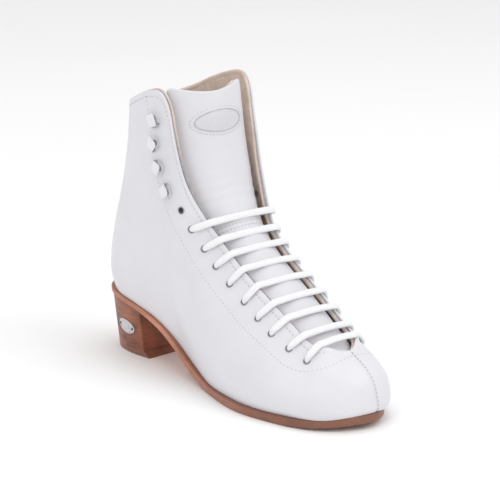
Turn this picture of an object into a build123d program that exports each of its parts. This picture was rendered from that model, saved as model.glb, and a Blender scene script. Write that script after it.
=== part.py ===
from build123d import *
from math import cos, hypot, radians, sin, sqrt
import os

os.makedirs("parts", exist_ok=True)

# A right boot for figure skating, sold without its blade. Millimetres, +Z up, toe towards -Y,
# lateral (outer) side towards -X. The origin is on the floor, under the heel, on the centre line.

# ---------------------------------------------------------------- driving dimensions
LEATHER = 1.7           # outer leather of the upper
MIDDLE = 1.0            # stiffeners and padding between leather and lining
LINING = 0.8
GLUE = 0.35             # room for cement between two layers
SOLE_THICKNESS = 6.0    # outsole at the ball
SOLE_THIN = 4.2         # outsole over the heel
INSOLE_GAP = 1.7        # room for the shank and the filler under the insole board
INSOLE_THICKNESS = 2.2
FOOTBED_THICKNESS = 2.8
TOP_PIECE = 4.6         # lowest lift of the heel, the one that is walked on
LIFT_HEIGHTS = (11.5, 18.5, 25.5, 32.0)
HEEL_BREAST = -18       # Y of the heel's front face
TOP_PIECE_FRONT = -24   # Y the top piece reaches at the floor
EYELET_HOLE = 2.0       # radii
EYELET_BARREL = 2.45
EYELET_FLANGE = 2.9
RIVET = 1.5
LACE = 1.55
TONGUE_LEATHER = 1.4
TONGUE_PADDING = 3.0
TONGUE_LINING = 0.8

# ---------------------------------------------------------------- sole lines
# Top of the outsole from the heel to the toe, (Y, Z)
SOLE_TOP = [(31, 46.2), (17, 45), (-8, 41.6), (-31, 36.6), (-50, 30), (-69, 19.8), (-87, 11),
            (-103, 6.8), (-120, 6), (-175, 6), (-195, 6.8), (-212, 8.3), (-229, 10.6)]
FLAT_FROM, FLAT_TO = -118, -178     # stretch of the forepart that stands on the floor
# Half outlines of the outsole from the back of the heel to the toe, (distance from centre, Y)
OUTLINE_LATERAL = [(14.8, 24.6), (24.6, 9.6), (27.2, -8), (29, -40), (31.5, -65), (36, -92), (44, -120),
                   (49.3, -147), (46.8, -173), (38.5, -202), (22, -220.5)]
OUTLINE_MEDIAL = [(14.8, 24.6), (24.6, 9.6), (27.2, -8), (26, -40), (25.5, -65), (29.5, -93), (37.5, -125),
                  (40, -155), (35.7, -182), (26.8, -203), (14.8, -218)]
HEEL_BACK_Y, TOE_Y = 29, -226.5
UPPER_INSET = 3.0       # how far the upper stands in from the outsole's edge

# ---------------------------------------------------------------- stations of the upper
# A rib of the upper stands in one plane. Its widths are given at these fractions of its height.
LEVELS = (0, 0.08, 0.22, 0.42, 0.68, 1)
HEEL_CENTRE, LEG_CENTRE, TOE_CENTRE = -8, -38, -185     # Y of the turning axes at heel, leg and toe
FEATHER_DROP = 1.5      # ribs start this far inside the sole and are trimmed
# Back of the heel and side of the heel: height at the foot, height at the collar, widths
HEEL_BACK = (45.5, 181.5, (35, 38.8, 42.2, 39.8, 34.4, 36))
HEEL_SIDE = (41.5, 196.8, (25, 29.5, 31.5, 32.7, 33.6, 36.2))
# (foot Y, foot Z), (edge Y, edge Z), widths on the lateral side, how much narrower the medial sole is
STATIONS = [
    ((-20, 39.3), (-50, 200.2), (26, 30, 32.5, 34.5, 36, 38), 1.2),
    ((-30, 37), (-59, 200), (26, 30, 33.3, 36, 37, 37.8), 1.5),
    ((-40, 33.5), (-65.5, 191.5), (26, 29.5, 33.5, 36.3, 37.2, 37), 2),
    ((-50, 29.8), (-69.3, 177), (26.5, 29.5, 34, 36.8, 37.5, 36.8), 2.8),
    ((-60, 25.5), (-73.5, 161), (27, 30, 34.5, 37.5, 38, 36.6), 3.5),
    ((-70, 19.5), (-79.5, 142.5), (28, 31, 36, 39, 38.5, 35.3), 4),
    ((-84, 12.2), (-88.5, 125), (30.5, 34, 39, 40.7, 38.5, 31.5), 4.5),
    ((-101, 7), (-101, 107.5), (35, 38.5, 42.5, 43, 38, 26), 6),
    ((-121, 6), (-121, 89.3), (41, 44, 46.5, 45, 37.5, 23.3), 7.5),
    ((-147, 6), (-147, 72.4), (45.5, 47.5, 48.5, 46, 37, 22), 9),
    ((-171, 6), (-171, 57.4), (44, 46, 46.5, 43.5, 35, 20.3), 10),
]
# Side of the toe and front of the toe: height at the foot, height at the throat, widths
TOE_SIDE = (6.5, 49.3, (41, 43, 43.3, 40, 31.5, 19))
TOE_FRONT = (8.5, 45, (38.5, 40.7, 41, 39, 33.7, 15))
TOE_MEDIAL_INSET = 12
COLLAR_TILT = 2.2       # how much the collar rises on the medial side and drops on the lateral one
COLLAR_FLARE = 1.6      # how much wider the collar is on the medial side
TILT_FROM, TILT_TO = 145, 190       # heights over which tilt and flare set in
HEEL_TURNS = (0, 8, 22, 42, 65, 90)    # turns of the ribs round the heel, back to side, degrees
TOE_TURNS = (0, 30, 55, 75, 90)     # turns of the ribs round the toe, side to front, degrees
LATERAL, MEDIAL = -1, 1
SIDES = {"lateral": LATERAL, "medial": MEDIAL}

# ---------------------------------------------------------------- fittings, (Y, Z) in side view
EYELETS = [(-187.7, 40.3), (-174.1, 45.9), (-159.8, 52.9), (-146.9, 60.3), (-133.4, 68.4),
           (-119.2, 77.6), (-106.8, 87.1), (-96.8, 97.2), (-86.9, 109), (-78.6, 120.8)]
LACED_ROWS = 9          # counted from the toe; the lace leaves the last hole pair free
HOOKS = [(-66, 130.6), (-58, 145.7), (-53.6, 163.2), (-52.8, 179.5)]
BADGE_CENTRE = (-2, 20)
BADGE_TILT = 5


# ================================================================ shared geometry
def ellipse_reach(side_reach, end_reach, turn):
    """Distance to an ellipse from its centre, turned from its end towards its side."""
    return 1 / sqrt((sin(radians(turn)) / side_reach) ** 2 + (cos(radians(turn)) / end_reach) ** 2)


def blend(at_side, at_end, share):
    return at_side + (at_end - at_side) * share


class Rib:
    """One station: a plane and the outer curve of the upper in it, from the sole to the edge."""

    def __init__(self, turn, foot, head, widths):
        reach = Vector(sin(radians(turn)), cos(radians(turn)), 0)
        base = Vector(0, foot[0], foot[1] - FEATHER_DROP)
        rise = Vector(0, head[0], head[1]) - base
        lean = rise.dot(reach)
        up = rise - reach * lean
        self.plane = Plane(origin=base, x_dir=reach, z_dir=reach.cross(up))
        self.curve = [(width + lean * level, up.length * level) for width, level in zip(widths, LEVELS)]


def collar_share(height):
    return min(max((height - TILT_FROM) / (TILT_TO - TILT_FROM), 0), 1)


def flared(widths, amount):
    return [width + amount * level ** 2 for width, level in zip(widths, LEVELS)]


def heel_rib(turn):
    share = cos(radians(turn))
    aside = sin(radians(turn))
    foot = (HEEL_CENTRE, blend(HEEL_SIDE[0], HEEL_BACK[0], share))
    head = (LEG_CENTRE, blend(HEEL_SIDE[1], HEEL_BACK[1], share) + COLLAR_TILT * aside)
    widths = [ellipse_reach(side, back, turn) for side, back in zip(HEEL_SIDE[2], HEEL_BACK[2])]
    return Rib(turn, foot, head, flared(widths, COLLAR_FLARE * max(aside, 0)))


def toe_rib(turn, side):
    """Turn runs from 0 at the boot's side to 90 at its front."""
    share = sin(radians(turn)) ** 2
    inset_here = TOE_MEDIAL_INSET if side == MEDIAL else 0
    foot = (TOE_CENTRE, blend(TOE_SIDE[0], TOE_FRONT[0], share))
    head = (TOE_CENTRE, blend(TOE_SIDE[1], TOE_FRONT[1], share))
    sides = [width - inset_here * (1 - level) for width, level in zip(TOE_SIDE[2], LEVELS)]
    widths = [ellipse_reach(wide, front, 90 - turn) for wide, front in zip(sides, TOE_FRONT[2])]
    return Rib(side * (90 + turn), foot, head, widths)


def ribs(side):
    """All ribs of one side, from the back seam to the toe seam."""
    found = [heel_rib(side * turn) for turn in HEEL_TURNS]
    for foot, head, lateral_widths, narrower in STATIONS:
        inset_here = narrower if side == MEDIAL else 0
        widths = [width - inset_here * (1 - level) for width, level in zip(lateral_widths, LEVELS)]
        share = collar_share(head[1])
        tilted = (head[0], head[1] + side * COLLAR_TILT * share)
        widths = flared(widths, COLLAR_FLARE * share if side == MEDIAL else 0)
        found.append(Rib(side * 90, foot, tilted, widths))
    return found + [toe_rib(turn, side) for turn in TOE_TURNS]


def inset(curve, depth):
    """The curve moved inwards by depth, point by point along its normals."""
    moved = []
    for i, (across, height) in enumerate(curve):
        before = curve[max(i - 1, 0)]
        after = curve[min(i + 1, len(curve) - 1)]
        run_across, run_up = after[0] - before[0], after[1] - before[1]
        run = hypot(run_across, run_up)
        moved.append((across - depth * run_up / run, height + depth * run_across / run))
    return moved


def rib_line(curve, depth):
    """The rib's curve at a depth. The same parameters on every rib keep the lofts even."""
    points = [Vector(across, height) for across, height in inset(curve, depth)]
    return Edge.make_spline(points, parameters=list(LEVELS))


def raised(line, height):
    return [(y, z + height) for y, z in line]


def underside_edges():
    """Underside of the outsole: thin over the heel, full at the ball, flat where it stands."""
    heel_part, toe_part = [], []
    for y, z in SOLE_TOP:
        share = min(max((-y - 10) / 80, 0), 1)
        point = (y, z - blend(SOLE_THIN, SOLE_THICKNESS, share))
        if y > FLAT_FROM + 10:
            heel_part.append(point)
        if y < FLAT_TO - 10:
            toe_part.append(point)
    rear = Edge.make_spline([Vector(*point) for point in heel_part + [(FLAT_FROM, 0)]],
                            tangents=[Vector(-14, -1.2), Vector(-1, 0)])
    front = Edge.make_spline([Vector(*point) for point in [(FLAT_TO, 0)] + toe_part],
                             tangents=[Vector(-1, 0), Vector(-17, 1.6)])
    return [rear, Edge.make_line(rear @ 1, front @ 0), front]


def region(edges):
    """A closed region of the side view, as a sketch to extrude along X."""
    with BuildSketch(Plane.YZ) as area:
        with BuildLine():
            add(edges)
        make_face()
    return area.sketch


def closed_by(edges, corners):
    """The edges, joined end to start through the corners."""
    points = [edges[-1] @ 1] + [Vector(*corner) for corner in corners] + [edges[0] @ 0]
    return edges + [Edge.make_line(start, end) for start, end in zip(points, points[1:])]


def spline(line):
    return Edge.make_spline([Vector(*point) for point in line])


def band(low, high):
    """Region between two lines of the side view."""
    back, front = [low[0] @ 0, high[0] @ 0], [low[-1] @ 1, high[-1] @ 1]
    return region(low + high + [Edge.make_line(*back), Edge.make_line(*front)])


def under(edges):
    """Everything below a line that runs from the heel to the toe."""
    return region(closed_by(edges, [(-240, -20), (40, -20)]))


def polygon(corners):
    points = [Vector(*corner) for corner in corners]
    return region([Edge.make_line(start, end) for start, end in zip(points, points[1:] + points[:1])])


def plan(margin):
    """Plan of the outsole, moved in by a margin."""
    lateral = [(-reach, y) for reach, y in OUTLINE_LATERAL]
    medial = [(reach, y) for reach, y in reversed(OUTLINE_MEDIAL)]
    outline = [(0, HEEL_BACK_Y)] + lateral + [(0, TOE_Y)] + medial
    moved = inset(outline[-1:] + outline + outline[:1], margin)[1:-1]
    with BuildSketch() as shape:
        with BuildLine():
            Spline(moved, periodic=True)
        make_face()
    return shape.sketch


def layer(shape, low, high):
    """A layer of the sole: a plan shape between two lines of the side view."""
    with BuildPart() as sheet:
        add(shape)
        extrude(amount=70)
        extrude(band(low, high), amount=80, both=True, mode=Mode.INTERSECT)
    return sheet.part


def loft_wall(stations, outer, inner):
    """A loft through ribs, between two depths from the outer surface of the upper."""
    with BuildPart() as sheet:
        for rib in stations:
            with BuildSketch(rib.plane):
                with BuildLine():
                    front, back = rib_line(rib.curve, outer), rib_line(rib.curve, inner)
                    add([front, back])
                    Line(front @ 0, back @ 0)
                    Line(front @ 1, back @ 1)
                make_face()
        loft()
        extrude(under([spline(SOLE_TOP)]), amount=80, both=True, mode=Mode.SUBTRACT)
    return sheet.part


def within(sources, shape, reach=80):
    """The part of some solids that lies inside a side-view region."""
    with BuildPart() as piece:
        add(sources)
        extrude(shape, amount=reach, both=True, mode=Mode.INTERSECT)
    return piece.part


def seat(skin, side, y, z):
    """The plane that touches the skin from outside at (y, z), facing out."""
    hits = skin.find_intersection_points(Axis((side * 120, y, z), (-side, 0, 0)))
    point, normal = min(hits, key=lambda hit: abs(hit[0].X - side * 120))
    if normal.X * side < 0:
        normal = -normal
    return Plane(origin=point, x_dir=Vector(0, 1, 0).cross(normal), z_dir=normal)


def rod(planes, radius, start, end):
    """Round rods on planes, between two heights over each."""
    with BuildPart() as rods:
        with BuildSketch(*[place.offset(start) for place in planes]):
            Circle(radius)
        extrude(amount=end - start)
    return rods.part


def tube(planes, radius, hole, start, end):
    with BuildPart() as rings:
        with BuildSketch(*[place.offset(start) for place in planes]):
            Circle(radius)
            Circle(hole, mode=Mode.SUBTRACT)
        extrude(amount=end - start)
    return rings.part


def joined(pieces):
    with BuildPart() as whole:
        add(pieces)
    return whole.part


def less(source, tools):
    with BuildPart() as rest:
        add(source)
        add(tools, mode=Mode.SUBTRACT)
    return rest.part


def save(part, name):
    part.label = name
    export_step(part, f"parts/{name}.step")


# ================================================================ sole
TOP_EDGE = [spline(SOLE_TOP)]
UNDERSIDE = underside_edges()
WALL = LEATHER + MIDDLE + LINING + 2 * GLUE
INSOLE_MARGIN = UPPER_INSET + WALL + 2.5
SHANK_HALF_WIDTH, SHANK_BACK, SHANK_FRONT = 7.5, 14, -104


def strip_plan(half_width, back, front):
    with BuildSketch() as shape:
        with Locations((0, (back + front) / 2)):
            RectangleRounded(2 * half_width, back - front, half_width * 0.8)
    return shape.sketch


def forepart_plan():
    with BuildSketch() as shape:
        add(plan(INSOLE_MARGIN))
        with Locations((0, SHANK_FRONT - 2)):
            Rectangle(120, 120, align=(Align.CENTER, Align.MAX), mode=Mode.INTERSECT)
    return shape.sketch


low, high = [spline(raised(SOLE_TOP, 0.05))], [spline(raised(SOLE_TOP, INSOLE_GAP - 0.1))]
save(layer(plan(0), UNDERSIDE, TOP_EDGE), "outsole")
save(layer(strip_plan(SHANK_HALF_WIDTH, SHANK_BACK, SHANK_FRONT), low, high), "shank")
save(layer(forepart_plan(), low, high), "forepart_filler")
board_top = INSOLE_GAP + INSOLE_THICKNESS
save(layer(plan(INSOLE_MARGIN), [spline(raised(SOLE_TOP, INSOLE_GAP))],
           [spline(raised(SOLE_TOP, board_top))]), "insole_board")
save(layer(plan(INSOLE_MARGIN + 0.3), [spline(raised(SOLE_TOP, board_top + 0.05))],
           [spline(raised(SOLE_TOP, board_top + FOOTBED_THICKNESS))]), "footbed")


# ================================================================ heel
HEEL_LOW, HEEL_HIGH, HEEL_REFERENCE = (22, 25.2), (27.6, 30), 50  # half width and back, at Z 0 and at this Z
HEEL_CORNER = 1.2
HEEL_TAPER = 0.8            # how much each side draws in from its widest place to the breast
NAIL_PLACES = [(-11, -12), (11, -12), (-10.5, 5), (10.5, 5), (0, 15)]
NAIL, NAIL_HEAD, NAIL_HEAD_DEPTH, NAIL_LENGTH = 1.1, 2.3, 1.4, 15       # radii, depth, length
PIN, PIN_REACH, PIN_HEIGHT, PIN_ROOT = 0.8, 7.6, 1.2, 6         # radius, place, height and depth
BADGE_HALF_LENGTH, BADGE_HALF_HEIGHT, BADGE_THICKNESS = 9.8, 5.1, 0.9
ON_END = (Align.CENTER, Align.CENTER, Align.MIN)


def heel_outline(half_width, back, breast=HEEL_BREAST):
    with BuildSketch() as shape:
        with BuildLine():
            half = [(half_width - HEEL_TAPER, breast), (half_width, -8), (half_width * 0.87, 9),
                    (half_width * 0.5, back - 4.2)]
            side = Spline(*half, (0, back), *[(-x, y) for x, y in reversed(half)])
            Line(side @ 1, side @ 0)
        make_face()
    return shape.sketch


def heel_size(height):
    """Half width and back of the heel at a height over the floor."""
    share = height / HEEL_REFERENCE
    return blend(HEEL_LOW[0], HEEL_HIGH[0], share), blend(HEEL_LOW[1], HEEL_HIGH[1], share)


def heel_block(grow=0.0):
    """The whole heel, wider at the top than at the floor; its breast is upright."""
    with BuildPart() as block:
        for height in (0, HEEL_REFERENCE):
            half_width, back = heel_size(height)
            with BuildSketch(Plane.XY.offset(height)):
                add(heel_outline(half_width + grow, back + grow))
        loft(ruled=True)
        upright = block.edges().filter_by(lambda edge: abs(edge.tangent_at(0.5).Z) > 0.8)
        fillet(upright.group_by(Axis.Y)[0], radius=HEEL_CORNER)
        extrude(under(UNDERSIDE), amount=80, both=True, mode=Mode.INTERSECT)
    return block.part


def top_piece():
    """Lowest lift; its front leans out towards the toe at the floor."""
    with BuildPart() as piece:
        for height, breast in ((0, TOP_PIECE_FRONT), (TOP_PIECE, HEEL_BREAST)):
            with BuildSketch(Plane.XY.offset(height)):
                add(heel_outline(*heel_size(height), breast))
        loft(ruled=True)
    return piece.part


def slice_of(source, low_z, high_z):
    with BuildPart() as lift:
        add(source)
        with BuildSketch(Plane.XY.offset(low_z)):
            Rectangle(120, 120)
        extrude(amount=high_z - low_z, mode=Mode.INTERSECT)
    return lift.part


def badge_plane():
    """Upright plane outside the heel's lateral face, its X along the badge's long axis."""
    tilt = radians(BADGE_TILT)
    return Plane(origin=(-45, *BADGE_CENTRE), x_dir=(0, -cos(tilt), -sin(tilt)), z_dir=(1, 0, 0))


def badge_cut(thickness, draw):
    """What a drawn shape, pushed in from the side, leaves between the heel and a grown heel."""
    with BuildPart() as cut:
        with BuildSketch(badge_plane()):
            draw()
        extrude(amount=35)
        add(heel_block(thickness), mode=Mode.INTERSECT)
    return cut.part


def heel_nails():
    with BuildPart() as nails:
        with Locations(*[(x, y, 0) for x, y in NAIL_PLACES]):
            Cylinder(NAIL, NAIL_LENGTH, align=ON_END)
            Cone(NAIL_HEAD, NAIL, NAIL_HEAD_DEPTH, align=ON_END)
    return nails.part


def draw_pins():
    with Locations((-PIN_REACH, 0), (PIN_REACH, 0)):
        Circle(PIN)


heel = heel_block()
nails = heel_nails()
pins = less(badge_cut(PIN_HEIGHT, draw_pins), heel_block(-PIN_ROOT))
badge = badge_cut(BADGE_THICKNESS, lambda: Ellipse(BADGE_HALF_LENGTH, BADGE_HALF_HEIGHT))
heel = less(heel, [nails, pins])
save(less(badge, [heel_block(), pins]), "heel_badge")
save(pins, "heel_badge_pins")
save(nails, "heel_nails")
save(less(top_piece(), nails), "heel_top_piece")
lift_edges = (TOP_PIECE,) + LIFT_HEIGHTS + (60,)
for number, (low_z, high_z) in enumerate(zip(lift_edges, lift_edges[1:]), start=1):
    save(slice_of(heel, low_z, high_z), f"heel_lift_{number}")


# ================================================================ upper
def wall(side, outer, inner):
    return loft_wall(ribs(side), outer, inner)


def mirrored(corners):
    return [(-x, z) for x, z in reversed(corners)]


# The middle layer is cut into its pieces along these lines of the side view.
EYESTAY_EDGE = [(-38, 215), (-45, 185), (-48, 169.7), (-51, 150.6), (-55.2, 136.1), (-61.4, 123.7),
                (-68.3, 113.2), (-77.6, 103.5), (-91.4, 88), (-110.8, 71.2), (-125.3, 61.9),
                (-140.3, 53.5), (-156.7, 46.4), (-169.9, 40), (-178.8, 35.9), (-190.7, 35.2),
                (-202, 39), (-206, 41.5)]
ANKLE = 6               # place in this line where padding gives way to interlining
COUNTER_EDGE = [(-40, 58), (-24, 80), (45, 84)]
TOE_BOX_Y = EYESTAY_EDGE[-3][0]
FAR = 260
EYESTAY = polygon(EYESTAY_EDGE + [(-206, 60), (-190, FAR), (-40, FAR)])
COUNTER = polygon([(-40, -10)] + COUNTER_EDGE + [(45, -10)])
TOE_BOX = polygon([(TOE_BOX_Y, -10)] + EYESTAY_EDGE[-3:] + [(-206, 60), (-240, 60), (-240, -10)])
PADDING = polygon(COUNTER_EDGE + [(45, FAR), (-40, FAR)] + EYESTAY_EDGE[:ANKLE + 1])
QUARTER = polygon([(-40, -10), (-40, 58)] + EYESTAY_EDGE[ANKLE:-2] + [(TOE_BOX_Y, -10)])
middle_outer = LEATHER + GLUE
lining_outer = middle_outer + MIDDLE + GLUE
HOLE_ROOM, HOLE_REACH = 0.05, 6.5       # room round each barrel; how far its hole reaches in and out

leather, middle, lining, eyelet_seats, hook_seats = {}, {}, {}, {}, {}
for name, side in SIDES.items():
    leather[name] = wall(side, 0, LEATHER)
    middle[name] = wall(side, middle_outer, middle_outer + MIDDLE)
    lining[name] = wall(side, lining_outer, lining_outer + LINING)
    eyelet_seats[name] = [seat(leather[name], side, y, z) for y, z in EYELETS]
    hook_seats[name] = [seat(leather[name], side, y, z) for y, z in HOOKS]
    holes = joined([rod(eyelet_seats[name], EYELET_BARREL + HOLE_ROOM, -HOLE_REACH, HOLE_REACH),
                    rod(hook_seats[name], RIVET + HOLE_ROOM, -HOLE_REACH, HOLE_REACH)])
    save(less(leather[name], holes), f"upper_{name}")
    save(less(lining[name], holes), f"lining_{name}")
    save(less(within(middle[name], EYESTAY), holes), f"eyestay_{name}")
    save(within(middle[name], PADDING), f"ankle_padding_{name}")
    save(within(middle[name], QUARTER), f"quarter_interlining_{name}")

save(within(list(middle.values()), COUNTER), "heel_counter")
save(within(list(middle.values()), TOE_BOX), "toe_box")


STAY_GAP, STAY_THICKNESS = 0.4, 1.0
# Half outline of the stay, seen from behind
STAY_HALF = [(7, 40), (15, 40), (15, 62), (9.5, 84), (8, 110), (8.5, 150), (10, 230)]


def back_stay():
    """Strip of leather over the back seam, narrow at the ankle."""
    turns = [-turn for turn in HEEL_TURNS[:0:-1]] + list(HEEL_TURNS)
    with BuildPart() as strip:
        add(loft_wall([heel_rib(turn) for turn in turns], -STAY_GAP - STAY_THICKNESS, -STAY_GAP))
        with BuildSketch(Plane.XZ.offset(-60)):
            with BuildLine():
                Polyline(STAY_HALF + mirrored(STAY_HALF), close=True)
            make_face()
        extrude(amount=70, mode=Mode.INTERSECT)
    return strip.part


save(back_stay(), "back_stay")


# ================================================================ tongue
# Crown of the tongue from under the toe leather to its free top: Y, Z, radius of its arch,
# reach towards the lateral side, reach towards the medial side
TONGUE = [(-203, 34.5, 34, 14, 12), (-192, 40.5, 34, 17, 15), (-180, 49, 33, 19.5, 16.5),
          (-164, 60.3, 32, 20.5, 17), (-147, 72, 32, 20.5, 17.5), (-121, 89.5, 32, 21, 18),
          (-104, 105.5, 32, 22, 19.5), (-94, 121, 33, 24.5, 24), (-87, 136.5, 34, 27, 27.5),
          (-80.5, 158, 35, 29, 28.5), (-76.5, 180, 36, 30, 28.5), (-74, 201, 37, 30, 26)]
HINGE = (-92.3, 124.5)      # where the free part of the tongue starts to flex
HINGE_GAP = 0.5
PATCH_HEIGHT, PATCH_HALF_LENGTH, PATCH_HALF_HEIGHT = 176.5, 21, 10.4
PATCH_X, PATCH_THICKNESS = 1, 0.8


def tongue_direction(i):
    before, after = TONGUE[max(i - 1, 0)], TONGUE[min(i + 1, len(TONGUE) - 1)]
    return Vector(0, after[0] - before[0], after[1] - before[1]).normalized()


def tongue_sheet(outer, inner, margin=0.0):
    """One layer of the whole tongue, between two depths under its outer surface."""
    with BuildPart() as sheet:
        for i, (y, z, radius, lateral_reach, medial_reach) in enumerate(TONGUE):
            along = tongue_direction(i)
            with BuildSketch(Plane(origin=(0, y, z), x_dir=(1, 0, 0), z_dir=-along)):
                with BuildLine():
                    arcs = []
                    for depth in (outer, inner):
                        ring = radius - depth
                        ends = [(x * ring / radius, sqrt(1 - (x / radius) ** 2) * ring - radius)
                                for x in (margin - lateral_reach, medial_reach - margin)]
                        arcs.append(ThreePointArc(ends[0], (0, -depth), ends[1]))
                    Line(arcs[0] @ 0, arcs[1] @ 0)
                    Line(arcs[0] @ 1, arcs[1] @ 1)
                make_face()
        loft()
    return sheet.part


def flex_split(sheet, name):
    """The fixed and the flexing part of a tongue layer, with a gap at the hinge."""
    along = Vector(0, 7, 15.5).normalized()
    for keep, part_name, shift in ((Keep.BOTTOM, "lower", 0), (Keep.TOP, "upper", HINGE_GAP)):
        with BuildPart() as piece:
            add(sheet)
            split(bisect_by=Plane(origin=Vector(0, *HINGE) + along * shift, z_dir=along), keep=keep)
        save(piece.part, f"tongue_{part_name}_{name}")


padding_depth = TONGUE_LEATHER + 0.1
lining_depth = padding_depth + TONGUE_PADDING + 0.1
flex_split(tongue_sheet(0, TONGUE_LEATHER), "leather")
flex_split(tongue_sheet(padding_depth, padding_depth + TONGUE_PADDING, 1.5), "padding")
flex_split(tongue_sheet(lining_depth, lining_depth + TONGUE_LINING), "lining")

with BuildPart() as tongue_patch:
    add(tongue_sheet(-0.1 - PATCH_THICKNESS, -0.1))
    with BuildSketch(Plane.XZ.offset(40)):
        with Locations((PATCH_X, PATCH_HEIGHT)):
            Ellipse(PATCH_HALF_LENGTH, PATCH_HALF_HEIGHT)
    extrude(amount=80, mode=Mode.INTERSECT)
save(tongue_patch.part, "tongue_patch")


# ================================================================ eyelets and hooks
EYELET_OUTSIDE, EYELET_INSIDE, FLANGE_THICKNESS = 0.6, -WALL - 0.9, 0.35
HOOK_BASE, HOOK_STEM, HOOK_TOP = 3.9, 2.2, 3.3          # radius of base, radius of stem, half width of top
HOOK_LEVELS = (0.3, 1.1, 4.2, 5.1)      # heights of the base's underside, the stem, the top and its upper face
HOOK_LEAN = 0.8
RIVET_TOP, RIVET_INSIDE, RIVET_SPREAD = 4.1, -WALL - 1.0, 1.8


def eyelets(seats):
    """Tubes set through all layers, with a thin flange outside and a washer inside."""
    flange_from, washer_to = EYELET_OUTSIDE - FLANGE_THICKNESS, EYELET_INSIDE + FLANGE_THICKNESS
    return joined([tube(seats, EYELET_BARREL, EYELET_HOLE, EYELET_INSIDE, EYELET_OUTSIDE),
                   tube(seats, EYELET_FLANGE, EYELET_HOLE, flange_from, EYELET_OUTSIDE),
                   tube(seats, EYELET_FLANGE + 0.4, EYELET_HOLE, EYELET_INSIDE, washer_to)])


def hooks(seats):
    """Round base, short stem and a long flat top that leans over the lace on the throat side."""
    base, stem, top, face = HOOK_LEVELS
    with BuildPart() as row:
        add(tube(seats, HOOK_BASE, RIVET + 0.02, base, stem))
        add(tube(seats, HOOK_STEM, RIVET + 0.02, stem, top))
        with BuildSketch(*[place.offset(top) for place in seats]):
            with Locations((0, HOOK_LEAN)):
                SlotOverall(2 * HOOK_TOP + 2.4, 2 * HOOK_TOP - 0.6, rotation=90)
        extrude(amount=face - top)
    return row.part


def hook_rivets(seats):
    """Rivet through the base and every layer, spread over a washer inside."""
    return joined([rod(seats, RIVET, RIVET_INSIDE, RIVET_TOP),
                   rod(seats, RIVET + RIVET_SPREAD, RIVET_INSIDE, RIVET_INSIDE + 0.5)])


for name in SIDES:
    save(eyelets(eyelet_seats[name]), f"eyelets_{name}")
    save(hooks(hook_seats[name]), f"hooks_{name}")
    save(hook_rivets(hook_seats[name]), f"hook_rivets_{name}")


# ================================================================ lace
THROAT_EDGE = [head for _, head, *_ in STATIONS] + [(-185, 49.3), (-193, 48), (-200, 45)]
NEAR_EDGE = 0.85                # a place on the leather just short of the throat's edge
INSIDE = WALL + 2.3 + LACE      # depth of the hidden runs under the outer surface
OUTSIDE = LACE + 1.3            # height of the bars over the outer surface at the holes
EDGE_CLEARANCE = 3.1
BAR_CLEARANCE = 0.9
LACE_BEND = 2.1
TAIL_END, TIP_END = 0.36, 0.8   # where a tail and its tip stop, as shares of the way to the next hole


def nearest(line, point):
    """Point nearest to another one on a chain of chords of the side view."""
    found = []
    for (y0, z0), (y1, z1) in zip(line, line[1:]):
        run_y, run_z = y1 - y0, z1 - z0
        share = ((point.Y - y0) * run_y + (point.Z - z0) * run_z) / (run_y ** 2 + run_z ** 2)
        share = min(max(share, 0), 1)
        spot = Vector(0, y0 + run_y * share, z0 + run_z * share)
        found.append((hypot(point.Y - spot.Y, point.Z - spot.Z), spot))
    return min(found, key=lambda pair: pair[0])[1]


def over_edge(side, place, lift):
    """Where a bar of the lace passes over the edge of the throat, going out from a hole."""
    edge = nearest(THROAT_EDGE, place.origin)
    target = place.origin + (edge - place.origin) * NEAR_EDGE
    near = seat(leather[side], SIDES[side], target.Y, target.Z)
    corner = place.origin + (near.origin - place.origin) * (1 / NEAR_EDGE)
    return corner + (near.z_dir + lift).normalized() * (LACE + EDGE_CLEARANCE)


def bar_points(row):
    """One bar of the lace, from the lateral hole over the tongue to the medial hole."""
    left, right = eyelet_seats["lateral"][row], eyelet_seats["medial"][row]
    crown = nearest([(y, z) for y, z, *_ in TONGUE], left.origin)
    lift = Vector(0, crown.Y - left.origin.Y, crown.Z - left.origin.Z).normalized()
    top = crown + lift * (LACE + BAR_CLEARANCE)
    path = [left.origin + left.z_dir * OUTSIDE]
    for side, place, shares in (("lateral", left, (1, 0.65, 0.3)), ("medial", right, (0.3, 0.65, 1))):
        edge = over_edge(side, place, lift)
        for share in shares:
            drop = share ** 2.2
            path.append(Vector(edge.X * share, blend(top.Y, edge.Y, drop), blend(top.Z, edge.Z, drop)))
    return path + [right.origin + right.z_dir * OUTSIDE]


def hidden_run(seats, row):
    """Inside run of the lace from one hole to the next hole of the same side."""
    return [seats[row].origin - seats[row].z_dir * INSIDE,
            seats[row + 1].origin - seats[row + 1].z_dir * INSIDE]


def tail(seats, row, share):
    start, end = hidden_run(seats, row)
    return start + (end - start) * share


first, last = eyelet_seats["lateral"], eyelet_seats["medial"]
lace_path = [tail(first, 0, TAIL_END), tail(first, 0, 0)]
side_now = "lateral"
for row in range(LACED_ROWS):
    bar = bar_points(row)
    lace_path += bar if side_now == "lateral" else bar[::-1]
    side_now = "medial" if side_now == "lateral" else "lateral"
    if row < LACED_ROWS - 1:
        lace_path += hidden_run(eyelet_seats[side_now], row)
lace_path += [tail(last, LACED_ROWS - 1, 0), tail(last, LACED_ROWS - 1, TAIL_END)]

with BuildPart() as lace:
    with BuildLine() as route:
        FilletPolyline(lace_path, radius=LACE_BEND)
    with BuildSketch(Plane(origin=lace_path[0], z_dir=lace_path[1] - lace_path[0])):
        Circle(LACE)
    sweep(path=route.line)
save(lace.part, "lace")

with BuildPart() as lace_tips:
    for seats, row in ((first, 0), (last, LACED_ROWS - 1)):
        start, end = tail(seats, row, TAIL_END), tail(seats, row, TIP_END)
        with BuildSketch(Plane(origin=start, z_dir=end - start)):
            Circle(LACE)
        extrude(amount=(end - start).length)
save(lace_tips.part, "lace_tips")
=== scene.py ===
import math

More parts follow.
